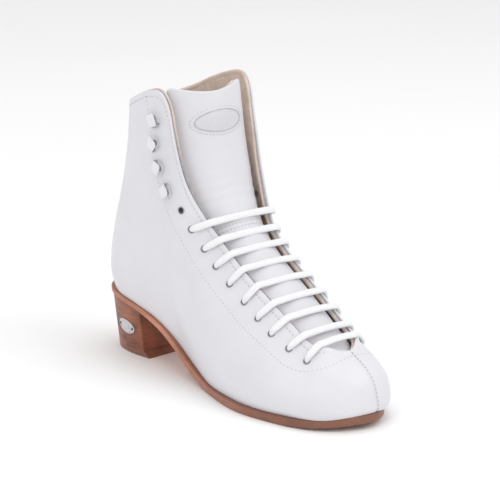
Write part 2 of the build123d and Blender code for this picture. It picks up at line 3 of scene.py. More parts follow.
import bmesh
import bpy
import numpy as np
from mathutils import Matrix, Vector
from mathutils.bvhtree import BVHTree


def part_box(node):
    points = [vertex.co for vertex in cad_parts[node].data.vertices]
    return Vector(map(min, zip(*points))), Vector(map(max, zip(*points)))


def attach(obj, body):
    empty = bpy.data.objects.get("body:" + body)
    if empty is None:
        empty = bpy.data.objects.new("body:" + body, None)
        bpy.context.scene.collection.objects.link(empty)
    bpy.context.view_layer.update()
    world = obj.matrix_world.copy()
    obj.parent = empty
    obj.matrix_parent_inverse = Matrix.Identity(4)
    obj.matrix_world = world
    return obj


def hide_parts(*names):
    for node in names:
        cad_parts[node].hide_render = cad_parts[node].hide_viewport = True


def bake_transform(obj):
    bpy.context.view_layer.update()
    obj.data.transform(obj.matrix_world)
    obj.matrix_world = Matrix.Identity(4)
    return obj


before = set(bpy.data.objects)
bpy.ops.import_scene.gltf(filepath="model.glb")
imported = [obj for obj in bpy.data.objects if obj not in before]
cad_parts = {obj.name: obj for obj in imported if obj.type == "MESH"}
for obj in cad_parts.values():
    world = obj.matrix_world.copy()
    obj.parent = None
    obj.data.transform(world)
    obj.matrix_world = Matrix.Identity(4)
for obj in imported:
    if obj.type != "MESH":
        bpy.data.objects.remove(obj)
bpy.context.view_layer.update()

MM = 0.001
rng = np.random.default_rng(7)
scene = bpy.context.scene

# ---- stations of the upper, as in the CAD source
LEVELS = np.array([0, 0.08, 0.22, 0.42, 0.68, 1])
HEEL_CENTRE, LEG_CENTRE, TOE_CENTRE = -8, -38, -185
HEEL_BACK = (45.5, 181.5, (35, 38.8, 42.2, 39.8, 34.4, 36))
HEEL_SIDE = (41.5, 196.8, (25, 29.5, 31.5, 32.7, 33.6, 36.2))
STATIONS = [
    ((-20, 39.3), (-50, 200.2), (26, 30, 32.5, 34.5, 36, 38), 1.2),
    ((-30, 37), (-59, 200), (26, 30, 33.3, 36, 37, 37.8), 1.5),
    ((-40, 33.5), (-65.5, 191.5), (26, 29.5, 33.5, 36.3, 37.2, 37), 2),
    ((-50, 29.8), (-69.3, 177), (26.5, 29.5, 34, 36.8, 37.5, 36.8), 2.8),
    ((-60, 25.5), (-73.5, 161), (27, 30, 34.5, 37.5, 38, 36.6), 3.5),
    ((-70, 19.5), (-79.5, 142.5), (28, 31, 36, 39, 38.5, 35.3), 4),
    ((-84, 12.2), (-88.5, 125), (30.5, 34, 39, 40.7, 38.5, 31.5), 4.5),
    ((-101, 7), (-101, 107.5), (35, 38.5, 42.5, 43, 38, 26), 6),
    ((-121, 6), (-121, 89.3), (41, 44, 46.5, 45, 37.5, 23.3), 7.5),
    ((-147, 6), (-147, 72.4), (45.5, 47.5, 48.5, 46, 37, 22), 9),
    ((-171, 6), (-171, 57.4), (44, 46, 46.5, 43.5, 35, 20.3), 10),
]
TOE_SIDE = (6.5, 49.3, (41, 43, 43.3, 40, 31.5, 19))
TOE_FRONT = (8.5, 45, (38.5, 40.7, 41, 39, 33.7, 15))
TOE_MEDIAL_INSET = 12
TOE_POWERS = (2, 2, 2, 2, 1.85, 1.45)    # shape of the toe's ovals: ellipses below, nearly a V at the throat
COLLAR_TILT, COLLAR_FLARE, TILT_FROM, TILT_TO = 2.2, 1.6, 145, 190
HEEL_TURNS = (0, 8, 22, 42, 65, 90)
TOE_TURNS = (0, 30, 55, 75, 90)
FEATHER_DROP = 1.5
EYELETS = [(-187.7, 40.3), (-174.1, 45.9), (-159.8, 52.9), (-146.9, 60.3), (-133.4, 68.4),
           (-119.2, 77.6), (-106.8, 87.1), (-96.8, 97.2), (-86.9, 109), (-78.6, 120.8)]
LACED_ROWS = 9
HOOKS = [(-66, 130.6), (-58, 145.7), (-53.6, 163.2), (-52.8, 179.5)]
SIDES = {"lateral": -1, "medial": 1}


# ---- the surface of the upper
def unit(v):
    v = np.asarray(v, float)
    return v / np.maximum(np.linalg.norm(v, axis=-1, keepdims=True), 1e-12)


def cubic(knots, values, at):
    """Natural cubic spline through values (n, k) at the knots, read at other parameters."""
    knots, at = np.asarray(knots, float), np.atleast_1d(np.asarray(at, float))
    values = np.asarray(values, float)
    n, gap = len(knots), np.diff(knots)
    slope = np.diff(values, axis=0) / gap[:, None]
    system, right = np.eye(n), np.zeros_like(values)
    for i in range(1, n - 1):
        system[i, i - 1:i + 2] = gap[i - 1], 2 * (gap[i - 1] + gap[i]), gap[i]
        right[i] = 6 * (slope[i] - slope[i - 1])
    bend = np.linalg.solve(system, right)
    i = np.clip(np.searchsorted(knots, at, side="right") - 1, 0, n - 2)
    h, t = gap[i][:, None], (at - knots[i])[:, None]
    r = h - t
    return ((bend[i] * r ** 3 + bend[i + 1] * t ** 3) / (6 * h)
            + (values[i] / h - bend[i] * h / 6) * r + (values[i + 1] / h - bend[i + 1] * h / 6) * t)


def closed_cubic(knots, values, at):
    """The same through a closed loop; its last knot is the first value again."""
    times = np.concatenate([knots[:-1] - knots[-1], knots[:-1], knots + knots[-1]])
    return cubic(times, np.concatenate([values, values, values, values[:1]]), at)


def run_along(points):
    """Length along a row of points, at each of them."""
    return np.concatenate([[0], np.cumsum(np.linalg.norm(np.diff(points, axis=0), axis=1))])


def rib(turn, foot, head, widths):
    reach = np.array([math.sin(math.radians(turn)), math.cos(math.radians(turn)), 0])
    base = np.array([0, foot[0], foot[1] - FEATHER_DROP])
    rise = np.array([0, head[0], head[1]]) - base
    lean = rise @ reach
    up = rise - reach * lean
    return np.array([base + reach * (w + lean * v) + up * v for w, v in zip(widths, LEVELS)])


def ellipse_reach(side_reach, end_reach, turn, power=2.0):
    """Distance to an oval from its centre, turned from its end towards its side; power 2 is an ellipse."""
    s, c = abs(math.sin(math.radians(turn))), abs(math.cos(math.radians(turn)))
    return ((s / side_reach) ** power + (c / end_reach) ** power) ** (-1 / power)


def mix(a, b, share):
    return a + (b - a) * share


def flared(widths, amount):
    return [w + amount * v ** 2 for w, v in zip(widths, LEVELS)]


def heel_rib(turn):
    share = math.cos(math.radians(turn))
    foot = (HEEL_CENTRE, mix(HEEL_SIDE[0], HEEL_BACK[0], share))
    aside = math.sin(math.radians(turn))
    head = (LEG_CENTRE, mix(HEEL_SIDE[1], HEEL_BACK[1], share) + COLLAR_TILT * aside)
    widths = [ellipse_reach(s, b, turn) for s, b in zip(HEEL_SIDE[2], HEEL_BACK[2])]
    return rib(turn, foot, head, flared(widths, COLLAR_FLARE * max(aside, 0)))


def toe_rib(turn, side):
    share = math.sin(math.radians(turn)) ** 2
    narrower = TOE_MEDIAL_INSET if side > 0 else 0
    foot = (TOE_CENTRE, mix(TOE_SIDE[0], TOE_FRONT[0], share))
    head = (TOE_CENTRE, mix(TOE_SIDE[1], TOE_FRONT[1], share))
    sides = [w - narrower * (1 - v) for w, v in zip(TOE_SIDE[2], LEVELS)]
    widths = [ellipse_reach(s, f, 90 - turn, p) for s, f, p in zip(sides, TOE_FRONT[2], TOE_POWERS)]
    return rib(side * (90 + turn), foot, head, widths)


def side_ribs(side):
    found = [heel_rib(side * turn) for turn in HEEL_TURNS]
    for foot, head, widths, narrower in STATIONS:
        cut = narrower if side > 0 else 0
        share = min(max((head[1] - TILT_FROM) / (TILT_TO - TILT_FROM), 0), 1)
        widths = flared([w - cut * (1 - v) for w, v in zip(widths, LEVELS)],
                        COLLAR_FLARE * share if side > 0 else 0)
        found.append(rib(side * 90, foot, (head[0], head[1] + side * COLLAR_TILT * share), widths))
    return found + [toe_rib(turn, side) for turn in TOE_TURNS]


lateral_ribs, medial_ribs = side_ribs(-1), side_ribs(1)
LOOP = np.array(lateral_ribs + medial_ribs[-2:0:-1])
HALF, ROWS = 240, 170       # columns from the back seam to the toe seam, rows from edge to sole
COUNT = 2 * HALF
steps = np.linalg.norm(np.roll(LOOP, -1, axis=0) - LOOP, axis=2).mean(axis=1)
loop_knots = np.concatenate([[0], np.cumsum(steps)])
toe_knot = loop_knots[len(lateral_ribs) - 1]
columns = np.concatenate([np.linspace(0, toe_knot, HALF, endpoint=False),
                          np.linspace(toe_knot, loop_knots[-1], HALF, endpoint=False)])
ribs_fine = np.array([cubic(LEVELS, r, np.linspace(1, 0, ROWS)) for r in LOOP])
GRID = closed_cubic(loop_knots, ribs_fine.reshape(len(LOOP), -1), columns).reshape(COUNT, ROWS, 3)
WAIST_Y, WAIST_Z, WAIST_LONG, WAIST_HIGH, WAIST_ROUNDS = -75, 35, 28, 32, 60
calm = np.exp(-((GRID[:, :, 1] - WAIST_Y) / WAIST_LONG) ** 2
              - ((GRID[:, :, 2] - WAIST_Z) / WAIST_HIGH) ** 2)[:, :, None]
for _ in range(WAIST_ROUNDS):       # evens out the waist, where the ribs crowd together
    GRID = GRID + 0.5 * calm * ((np.roll(GRID, 1, axis=0) + np.roll(GRID, -1, axis=0)) / 2 - GRID)
NORMAL = unit(np.cross(np.roll(GRID, -1, axis=0) - np.roll(GRID, 1, axis=0), -np.gradient(GRID, axis=1)))
DOWN = np.array([run_along(column) for column in GRID])


def at(column, drop):
    """Points and normals of the skin on one column, at distances below its upper edge."""
    i = math.floor(column)
    a, b = (np.array([[np.interp(drop, DOWN[j], field[j, :, k]) for k in range(3)] for field in (GRID, NORMAL)])
            for j in (i % COUNT, (i + 1) % COUNT))
    points, normals = mix(a, b, column - i)
    return points.T, unit(normals.T)


def length_of(column):
    i = math.floor(column)
    return mix(DOWN[i % COUNT, -1], DOWN[(i + 1) % COUNT, -1], column - i)


FLAT_GRID, FLAT_NORMAL = GRID.reshape(-1, 3), NORMAL.reshape(-1, 3)
TREE = BVHTree.FromPolygons(
    [Vector(p) for p in FLAT_GRID],
    [(a + j, b + j, b + j + 1, a + j + 1)
     for a, b in ((i * ROWS, (i + 1) % COUNT * ROWS) for i in range(COUNT)) for j in range(ROWS - 1)])


def skin_normal(point):
    """Mean of the nearest normals of the grid."""
    gap = np.linalg.norm(FLAT_GRID - point, axis=1)
    near = np.argpartition(gap, 6)[:6]
    weight = 1 / (gap[near] + 0.05)
    return unit((FLAT_NORMAL[near] * weight[:, None]).sum(axis=0))


def on_side(side, y, z):
    """Point and normal of the skin straight in from one side."""
    point = np.array(TREE.ray_cast(Vector((side * 150, y, z)), Vector((-side, 0, 0)))[0])
    return point, skin_normal(point)


def on_skin(point):
    hit = np.array(TREE.find_nearest(Vector(point))[0])
    return hit, skin_normal(hit)


# ---- mesh helpers
def make(name, points, faces, material, uv=None):
    mesh = bpy.data.meshes.new(name)
    mesh.from_pydata([tuple(p) for p in np.asarray(points) * MM], [], faces)
    mesh.validate()
    if uv is not None:
        layer = mesh.uv_layers.new(name="UVMap")
        index = np.zeros(len(mesh.loops), int)
        mesh.loops.foreach_get("vertex_index", index)
        layer.data.foreach_set("uv", np.asarray(uv, np.float32)[index].ravel())
    mesh.shade_smooth()
    obj = bpy.data.objects.new(name, mesh)
    scene.collection.objects.link(obj)
    mesh.materials.append(material)
    return obj


def clean(obj, distance=1e-6):
    bm = bmesh.new()
    bm.from_mesh(obj.data)
    bmesh.ops.remove_doubles(bm, verts=bm.verts, dist=distance)
    bmesh.ops.dissolve_degenerate(bm, edges=bm.edges, dist=distance)
    bmesh.ops.recalc_face_normals(bm, faces=bm.faces)
    bm.to_mesh(obj.data)
    bm.free()
    return obj


def shell(name, outer, inner, material):
    """A closed sheet from two grids of the same size."""
    rows, cols = outer.shape[:2]
    count = rows * cols
    points = np.concatenate([outer.reshape(-1, 3), inner.reshape(-1, 3)])
    faces = []
    for i in range(rows - 1):
        for j in range(cols - 1):
            a, b, c, d = i * cols + j, (i + 1) * cols + j, (i + 1) * cols + j + 1, i * cols + j + 1
            faces += [(a, b, c, d), (a + count, d + count, c + count, b + count)]
    rim = [(i, 0) for i in range(rows)] + [(rows - 1, j) for j in range(1, cols)]
    rim += [(i, cols - 1) for i in range(rows - 2, -1, -1)] + [(0, j) for j in range(cols - 2, 0, -1)]
    rim = [i * cols + j for i, j in rim]
    faces += [(a, a + count, b + count, b) for a, b in zip(rim, rim[1:] + rim[:1])]
    obj = clean(make(name, points, faces, material), 2e-6)
    obj.data.shade_smooth()
    obj.data.set_sharp_from_angle(angle=math.radians(50))
    return obj


def tube_faces(start, rings, sides, ends="capped"):
    """Faces between rings of points that follow each other; the ends are capped, open or joined."""
    faces = []
    for first in range(start, start + (rings - 1) * sides, sides):
        for j in range(sides):
            k = (j + 1) % sides
            faces.append((first + j, first + k, first + sides + k, first + sides + j))
    last = start + (rings - 1) * sides
    if ends == "capped":
        faces += [tuple(range(start, start + sides))[::-1], tuple(range(last, last + sides))]
    elif ends == "joined":
        for j in range(sides):
            k = (j + 1) % sides
            faces.append((last + j, last + k, start + k, start + j))
    return faces


def sweep(name, path, ups, widths, heights, material, sides, power):
    """A cord along a path: an oval cross-section whose size and turn change along it."""
    path, ups = np.asarray(path, float), np.asarray(ups, float)
    tangent = unit(np.gradient(path, axis=0))
    up = unit(ups - (ups * tangent).sum(axis=1, keepdims=True) * tangent)
    across = np.cross(tangent, up)
    turn = np.linspace(0, 2 * math.pi, sides, endpoint=False)
    c, s = np.cos(turn), np.sin(turn)
    oval = np.stack([np.sign(c) * np.abs(c) ** (2 / power), np.sign(s) * np.abs(s) ** (2 / power)], axis=1)
    rings = (path[:, None] + across[:, None] * (oval[:, 0] * np.asarray(widths)[:, None] / 2)[..., None]
             + up[:, None] * (oval[:, 1] * np.asarray(heights)[:, None] / 2)[..., None])
    uv = np.stack([np.repeat(run_along(path), sides), np.tile(np.arange(sides) / sides, len(path))], axis=1)
    return make(name, rings.reshape(-1, 3), tube_faces(0, len(path), sides), material, uv=uv)


def lathe(profile, places, sides=28, ends="capped"):
    """Points and faces of turned shapes: (radius, height) profiles set on (centre, normal) places."""
    points, faces = [], []
    turn = np.linspace(0, 2 * math.pi, sides, endpoint=False)
    for centre, normal in places:
        x = unit(np.cross([0, 1, 0], normal))
        y = np.cross(normal, x)
        faces += tube_faces(len(points), len(profile), sides, ends)
        for radius, height in profile:
            points += [centre + normal * height + (x * math.cos(t) + y * math.sin(t)) * radius for t in turn]
    return points, faces


def place_piece(obj, body, slot, *replaced):
    """Sets a piece on its body and hides the nodes of the frame that it stands for; the slot is not used."""
    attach(obj, body)
    if replaced:
        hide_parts(*replaced)


# ---- materials
def new_material(name):
    material = bpy.data.materials.new(name)
    material.use_nodes = True
    tree = material.node_tree
    return material, tree, tree.nodes["Principled BSDF"]


def link(tree, out, into):
    tree.links.new(out, into)


def node(tree, kind, **values):
    made = tree.nodes.new(kind)
    for key, value in values.items():
        if hasattr(made, key) and key not in made.inputs:
            setattr(made, key, value)
        else:
            made.inputs[key].default_value = value
    return made


def maths(tree, operation, *values):
    """A math node's output; each value is a number or another node's output."""
    made = node(tree, "ShaderNodeMath", operation=operation)
    for socket, value in zip(made.inputs, values):
        if isinstance(value, (int, float)):
            socket.default_value = value
        else:
            link(tree, value, socket)
    return made.outputs[0]


def set_inputs(shader, **values):
    """Values of a node's inputs, with _ for the blanks of their names."""
    for key, value in values.items():
        shader.inputs[key.replace("_", " ")].default_value = value


def coordinates(tree, scale):
    mapping = node(tree, "ShaderNodeMapping", Scale=scale)
    link(tree, node(tree, "ShaderNodeTexCoord").outputs["Object"], mapping.inputs["Vector"])
    return mapping.outputs["Vector"]


def ramp(tree, factor, stops):
    made = tree.nodes.new("ShaderNodeValToRGB")
    elements = made.color_ramp.elements
    while len(elements) < len(stops):
        elements.new(0.5)
    for element, (place, colour) in zip(elements, stops):
        element.position = place
        element.color = (*colour, 1)
    link(tree, factor, made.inputs["Fac"])
    return made.outputs["Color"]


def noise(tree, scale, detail=3, stretch=(1, 1, 1), rough=0.5):
    made = node(tree, "ShaderNodeTexNoise", Scale=scale, Detail=detail, Roughness=rough)
    link(tree, coordinates(tree, stretch), made.inputs["Vector"])
    return made.outputs["Fac"]


def add_bump(tree, shader, layers):
    """Bump layers, each (height output, strength, distance in metres)."""
    last = None
    for height, strength, distance in layers:
        bump = node(tree, "ShaderNodeBump", Strength=strength, Distance=distance)
        link(tree, height, bump.inputs["Height"])
        if last:
            link(tree, last, bump.inputs["Normal"])
        last = bump.outputs["Normal"]
    link(tree, last, shader.inputs["Normal"])


def leather(name, dark, light, roughness=0.42, grain=0.25, pebble=900, coat=0.08):
    material, tree, shader = new_material(name)
    link(tree, ramp(tree, noise(tree, 22, 4), [(0.3, dark), (0.7, light)]), shader.inputs["Base Color"])
    cells = node(tree, "ShaderNodeTexVoronoi", Scale=pebble, feature="DISTANCE_TO_EDGE")
    link(tree, coordinates(tree, (1, 1, 1)), cells.inputs["Vector"])
    rough = ramp(tree, noise(tree, 60, 3), [(0.3, (roughness - 0.04,) * 3), (0.7, (roughness + 0.06,) * 3)])
    link(tree, rough, shader.inputs["Roughness"])
    set_inputs(shader, Coat_Weight=coat, Coat_Roughness=0.35, Specular_IOR_Level=0.4)
    add_bump(tree, shader, [(noise(tree, 90, 3), 0.12, 0.0012), (cells.outputs["Distance"], grain, 0.0003),
                            (noise(tree, 2600, 2), 0.12, 0.0001)])
    return material


def suede(name, dark, light):
    material, tree, shader = new_material(name)
    link(tree, ramp(tree, noise(tree, 130, 6, rough=0.7), [(0.25, dark), (0.75, light)]),
         shader.inputs["Base Color"])
    set_inputs(shader, Roughness=0.88, Sheen_Weight=0.3)
    add_bump(tree, shader, [(noise(tree, 500, 5, rough=0.7), 0.35, 0.0006),
                            (noise(tree, 3500, 2), 0.3, 0.0002)])
    return material


def plain(name, dark, light, roughness=0.5, metallic=0.0, scale=300, bump=0.1):
    material, tree, shader = new_material(name)
    link(tree, ramp(tree, noise(tree, scale, 4), [(0.3, dark), (0.7, light)]), shader.inputs["Base Color"])
    rough = ramp(tree, noise(tree, scale * 2, 3),
                 [(0.2, (roughness * 0.8,) * 3), (0.8, (roughness * 1.2,) * 3)])
    link(tree, rough, shader.inputs["Roughness"])
    set_inputs(shader, Metallic=metallic)
    add_bump(tree, shader, [(noise(tree, scale * 4, 3), bump, 0.0002)])
    return material


STRAND_PITCH, STRANDS = 1.15, 7       # of the lace's braid: mm along the cord, count around it


def cotton(name):
    """Braided cotton: two crossing sets of strands in the cord's own coordinates, U in mm."""
    material, tree, shader = new_material(name)
    split = node(tree, "ShaderNodeSeparateXYZ")
    link(tree, node(tree, "ShaderNodeTexCoord").outputs["UV"], split.inputs["Vector"])
    along = maths(tree, "MULTIPLY", split.outputs["X"], 2 * math.pi / STRAND_PITCH)
    waves = []
    for turn in (1, -1):
        aside = maths(tree, "MULTIPLY", split.outputs["Y"], turn * 2 * math.pi * STRANDS)
        waves.append(maths(tree, "SINE", maths(tree, "ADD", along, aside)))
    braid = maths(tree, "MULTIPLY_ADD", maths(tree, "MULTIPLY", *waves), 0.5, 0.5)
    # Darker where the braid sinks: painted shade in the grooves between the strands
    link(tree, ramp(tree, braid, [(0.05, (0.70, 0.70, 0.725)), (0.65, (0.91, 0.91, 0.925))]),
         shader.inputs["Base Color"])
    set_inputs(shader, Roughness=0.85, Sheen_Weight=0.25)
    add_bump(tree, shader, [(braid, 0.5, 0.0003), (noise(tree, 2500, 3), 0.3, 0.0002)])
    return material


def sole_leather(name, stops, streak, toned=False):
    """Stained sole leather with streaks along the fibre; toned by the mesh's tone attribute and by its height
    attribute, which paints a highlight along the bottom edge and shade along the top.
    """
    material, tree, shader = new_material(name)
    streaks = noise(tree, 420, 6, stretch=streak, rough=0.65)
    mottled = maths(tree, "MULTIPLY_ADD", streaks, 0.55, noise(tree, 45, 4))
    colour = ramp(tree, maths(tree, "MULTIPLY", mottled, 0.66), stops)
    if toned:
        height = node(tree, "ShaderNodeAttribute", attribute_name="height")
        # painted light: a painted highlight along the bottom edge, painted shade along the top under the upper
        edge_highlight_and_shade = ramp(tree, height.outputs["Fac"], [(0.0, (1.25, 1.2, 1.15)), (0.14, (1.0, 1.0, 1.0)),
                                                   (0.85, (1.0, 1.0, 1.0)), (0.97, (0.70, 0.66, 0.64))])
        tone = node(tree, "ShaderNodeAttribute", attribute_name="tone")
        for factor in (edge_highlight_and_shade, tone.outputs["Color"]):
            multiply = node(tree, "ShaderNodeMix", data_type="RGBA", blend_type="MULTIPLY")
            multiply.inputs["Factor"].default_value = 1
            link(tree, colour, multiply.inputs[6])
            link(tree, factor, multiply.inputs[7])
            colour = multiply.outputs[2]
    link(tree, colour, shader.inputs["Base Color"])
    set_inputs(shader, Roughness=0.48, Coat_Weight=0.15, Coat_Roughness=0.3)
    add_bump(tree, shader, [(streaks, 0.25, 0.0004), (noise(tree, 1500, 2), 0.1, 0.0001)])
    return material


WHITE = leather("white_leather", (0.69, 0.683, 0.72), (0.73, 0.722, 0.757))
SATIN = leather("patch_satin", (0.58, 0.58, 0.61), (0.70, 0.70, 0.73), 0.28, 0.1, 1400, 0.3)
# The tongue's white leather, made a little darker than the upper's as painted shade; its finer grain and rougher
# finish are its own
TONGUE_WHITE_SHADED = leather("tongue_leather_shaded", (0.67, 0.665, 0.70), (0.71, 0.704, 0.737), 0.45, 0.2, 1100)
LINING = suede("lining", (0.53, 0.415, 0.35), (0.77, 0.635, 0.555))
EDGE_GREY = plain("middle_layer", (0.30, 0.30, 0.32), (0.42, 0.42, 0.44), 0.8)
# Painted shade: both threads are white thread coloured grey for the shade in the dents along their rows
SHADED_THREAD = plain("thread", (0.42, 0.42, 0.45), (0.52, 0.52, 0.55), 0.7, scale=2000)
SHADED_SEAM_THREAD = plain("tongue_thread_shaded", (0.46, 0.46, 0.49), (0.56, 0.56, 0.59), 0.7, scale=2000)
# Painted shade: the grey of the shade in needle holes
NEEDLE_HOLE_SHADE = plain("needle_hole_shades", (0.34, 0.34, 0.36), (0.42, 0.42, 0.44), 0.9)
BEIGE_THREAD = plain("lining_thread", (0.50, 0.40, 0.31), (0.60, 0.50, 0.40), 0.8, scale=2000)
STEEL = plain("eyelet_steel", (0.26, 0.26, 0.29), (0.36, 0.36, 0.39), 0.4, 0.5)
# Painted shade: a grey for the shade inside the hooks' folds and round the tongue patch's inner oval
PAINTED_SHADE_GREY = plain("painted_shade_grey", (0.42, 0.42, 0.45), (0.54, 0.54, 0.57), 0.35, 0.3)
ENAMEL = plain("hook_enamel", (0.74, 0.735, 0.76), (0.78, 0.775, 0.80), 0.25, scale=60, bump=0.03)
COTTON = cotton("lace_cotton")
PLATE = plain("badge_plate", (0.52, 0.52, 0.54), (0.68, 0.68, 0.70), 0.3, 0.9, scale=500)
DARK = plain("dark_metal", (0.02, 0.02, 0.02), (0.05, 0.05, 0.05), 0.45, 0.5)
OUTSOLE = sole_leather("outsole_leather", [(0.30, (0.205, 0.076, 0.042)), (0.70, (0.36, 0.150, 0.090))],
                       (1, 0.12, 1), toned=True)
HEEL = sole_leather("heel_leather", [(0.36, (0.12, 0.036, 0.020)), (0.62, (0.37, 0.118, 0.055))],
                    (0.3, 0.3, 1.6))
TOP = sole_leather("heel_top", [(0.34, (0.15, 0.057, 0.037)), (0.66, (0.32, 0.128, 0.080))], (1, 1, 1))
CORK = plain("cork", (0.22, 0.13, 0.07), (0.34, 0.22, 0.12), 0.9, scale=400, bump=0.4)
BOARD = plain("fibre_board", (0.30, 0.21, 0.12), (0.38, 0.28, 0.17), 0.85)
FOOTBED = leather("footbed_leather", (0.42, 0.31, 0.22), (0.52, 0.40, 0.30), 0.55)
FOAM = plain("foam", (0.60, 0.58, 0.50), (0.68, 0.66, 0.58), 0.95, scale=900, bump=0.4)
STIFF = plain("stiffener", (0.44, 0.40, 0.32), (0.50, 0.46, 0.38), 0.7)

CAD_MATERIALS = {
    "upper_": WHITE, "lining_": LINING, "eyestay_": EDGE_GREY, "ankle_padding_": FOAM,
    "quarter_interlining_": EDGE_GREY, "heel_counter": STIFF, "toe_box": STIFF, "back_stay": WHITE,
    "outsole": OUTSOLE, "shank": STEEL, "forepart_filler": CORK, "insole_board": BOARD, "footbed": FOOTBED,
    "heel_badge_pins": DARK, "heel_badge": PLATE, "heel_nails": STEEL, "heel_top_piece": TOP,
    "heel_lift": HEEL, "tongue_": TONGUE_WHITE_SHADED, "eyelets_": STEEL, "hooks_": ENAMEL, "hook_rivets_": STEEL,
    "lace_tips": ENAMEL, "lace": COTTON,
}
for node_name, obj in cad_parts.items():
    prefix = next(p for p in CAD_MATERIALS if node_name.startswith(p))
    obj.data.materials.clear()
    obj.data.materials.append(CAD_MATERIALS[prefix])
    if not node_name.startswith(("heel_lift", "heel_top", "heel_badge")):
        continue
    obj.modifiers.new("weld", "WELD").merge_threshold = 0.02 * MM
    bevel = obj.modifiers.new("soft_edges", "BEVEL")
    bevel.width = (0.25 if "badge" in node_name else 0.3) * MM
    bevel.segments, bevel.limit_method, bevel.angle_limit = 2, "ANGLE", math.radians(35)


# ---- leather and lining of the upper
LEATHER, LINING_OUTSIDE, LINING_INSIDE = 1.7, 1.95, 4.6     # depths of the faces under the skin
EDGE_STITCH = 4.6           # from the edge of the throat and the collar to the row of stitches
LINING_STITCH, LINING_PROUD = 3.2, 0.7
SEAM_GROOVE, SEAM_COLUMN = 0.75, 1.25       # depth of the seams; width of a column of the skin there
STITCH_DENT, EDGE_SWELL = 0.22, 0.12
NEAR_EDGE_ROWS = [0, 0.05, 0.2, 0.45, 0.8, 1.3, 2.1, 3.1, 3.8, 4.2, 4.6, 5.0, 5.5, 6.4, 8, 10]
EYELET_CUT = 2.45


def ripple(points):
    """A gentle unevenness of stretched leather, in mm."""
    x, y, z = (points[..., k] for k in range(3))
    return (0.10 * np.sin(x * 0.11 + y * 0.07 + z * 0.045 + 1.3) + 0.08 * np.sin(y * 0.16 - z * 0.12 + 0.4)
            + 0.05 * np.sin(z * 0.31 + y * 0.05 + x * 0.2))


def column_places(side):
    near = [0, 0.2, 0.5, 0.9, 1.5, 2.4, 3.6]
    middle = list(np.arange(5, HALF - 4.5, 1.75))
    places = near + middle + [HALF - n for n in reversed(near)]
    return places if side < 0 else [COUNT - p for p in places]


def round_edge(drops, thickness):
    """How far each face of a sheet draws back near its edge, so that the edge is round."""
    half = thickness / 2
    return half - np.sqrt(np.maximum(half ** 2 - np.maximum(half - drops, 0) ** 2, 0))


def sheet_columns(side):
    """Drops below the edge, points and normals of the skin, column by column."""
    for place in column_places(side):
        drops = np.array(NEAR_EDGE_ROWS + list(np.linspace(10, length_of(place), 46)[1:]))
        yield place, drops, *at(place, drops)


def leather_grids(side):
    """Outer and inner face of the leather: a sunk seam, a sunk stitch row, a swollen edge, soft ripples."""
    outer, inner = [], []
    for place, drops, points, normals in sheet_columns(side):
        rounding = round_edge(drops, LEATHER)
        seam_gap = min(abs(place - HALF), abs(place), abs(COUNT - place)) * SEAM_COLUMN
        sunk = SEAM_GROOVE * math.exp(-(seam_gap / 0.7) ** 2)
        row = STITCH_DENT * np.exp(-((drops - EDGE_STITCH) / 0.55) ** 2)
        swell = EDGE_SWELL * np.exp(-((drops - EDGE_STITCH / 2) / 1.6) ** 2)
        soft = ripple(points) * np.clip(drops / 14, 0, 1)
        outer.append(points - normals * (rounding + sunk + row - swell - soft)[:, None])
        inner.append(points - normals * (LEATHER - rounding)[:, None])
    return np.array(outer), np.array(inner)


def lining_grids(side):
    """Outer and inner face of the lining, which stands a little proud of the leather's edge."""
    outer, inner = [], []
    for _, drops, points, normals in sheet_columns(side):
        rounding = round_edge(drops, LINING_INSIDE - LINING_OUTSIDE)
        row = 0.3 * np.exp(-((drops - LINING_STITCH) / 0.6) ** 2)
        points = points + unit(points[0] - points[5]) * (LINING_PROUD * np.exp(-drops / 1.5))[:, None]
        outer.append(points - normals * (LINING_OUTSIDE + rounding)[:, None])
        inner.append(points - normals * (LINING_INSIDE - row - rounding)[:, None])
    return np.array(outer), np.array(inner)


eyelet_seats, hook_seats = ({name: [on_side(side, *place) for place in row] for name, side in SIDES.items()}
                            for row in (EYELETS, HOOKS))


def cut_holes(obj, seats, radius):
    cutter = clean(make("cutter", *lathe([(radius, -9), (radius, 5)], seats, 20), WHITE))
    boolean = obj.modifiers.new("holes", "BOOLEAN")
    boolean.operation, boolean.solver, boolean.object = "DIFFERENCE", "EXACT", cutter
    bpy.context.view_layer.update()
    cut = bpy.data.meshes.new_from_object(obj.evaluated_get(bpy.context.evaluated_depsgraph_get()))
    obj.modifiers.clear()
    whole, obj.data = obj.data, cut
    cut.set_sharp_from_angle(angle=math.radians(40))
    bpy.data.meshes.remove(whole)
    bpy.data.objects.remove(cutter)


for name, side in SIDES.items():
    upper = shell(f"upper_leather_{name}", *leather_grids(side), WHITE)
    cut_holes(upper, eyelet_seats[name], EYELET_CUT)
    place_piece(upper, "boot", "white_leather", f"upper_{name}")
    inside = shell(f"upper_lining_{name}", *lining_grids(side), LINING)
    cut_holes(inside, eyelet_seats[name], EYELET_CUT)
    place_piece(inside, "boot", "lining", f"lining_{name}")


# ---- stitches
# Rings of a thread: place along it, share of its radius, height; and of a dark disc painted as the shade in a
# needle hole: size, height
THREAD_RINGS = [(-0.5, 0.25, -0.35), (-0.38, 0.85, -0.05), (0, 1, 0.06), (0.38, 0.85, -0.05),
                (0.5, 0.25, -0.35)]
HOLE_RINGS = [(1, -0.15), (1, 0.05), (0.5, 0.08)]
THREAD_RADIUS, HOLE_LONG, HOLE_WIDE = 0.27, 0.32, 0.30
SIXTHS = np.linspace(0, 2 * math.pi, 6, endpoint=False)


def resample(points, pitch):
    run = run_along(points)
    marks = np.linspace(0, run[-1], max(int(run[-1] / pitch), 1) + 1)
    return np.stack([np.interp(marks, run, points[:, k]) for k in range(3)], axis=1)


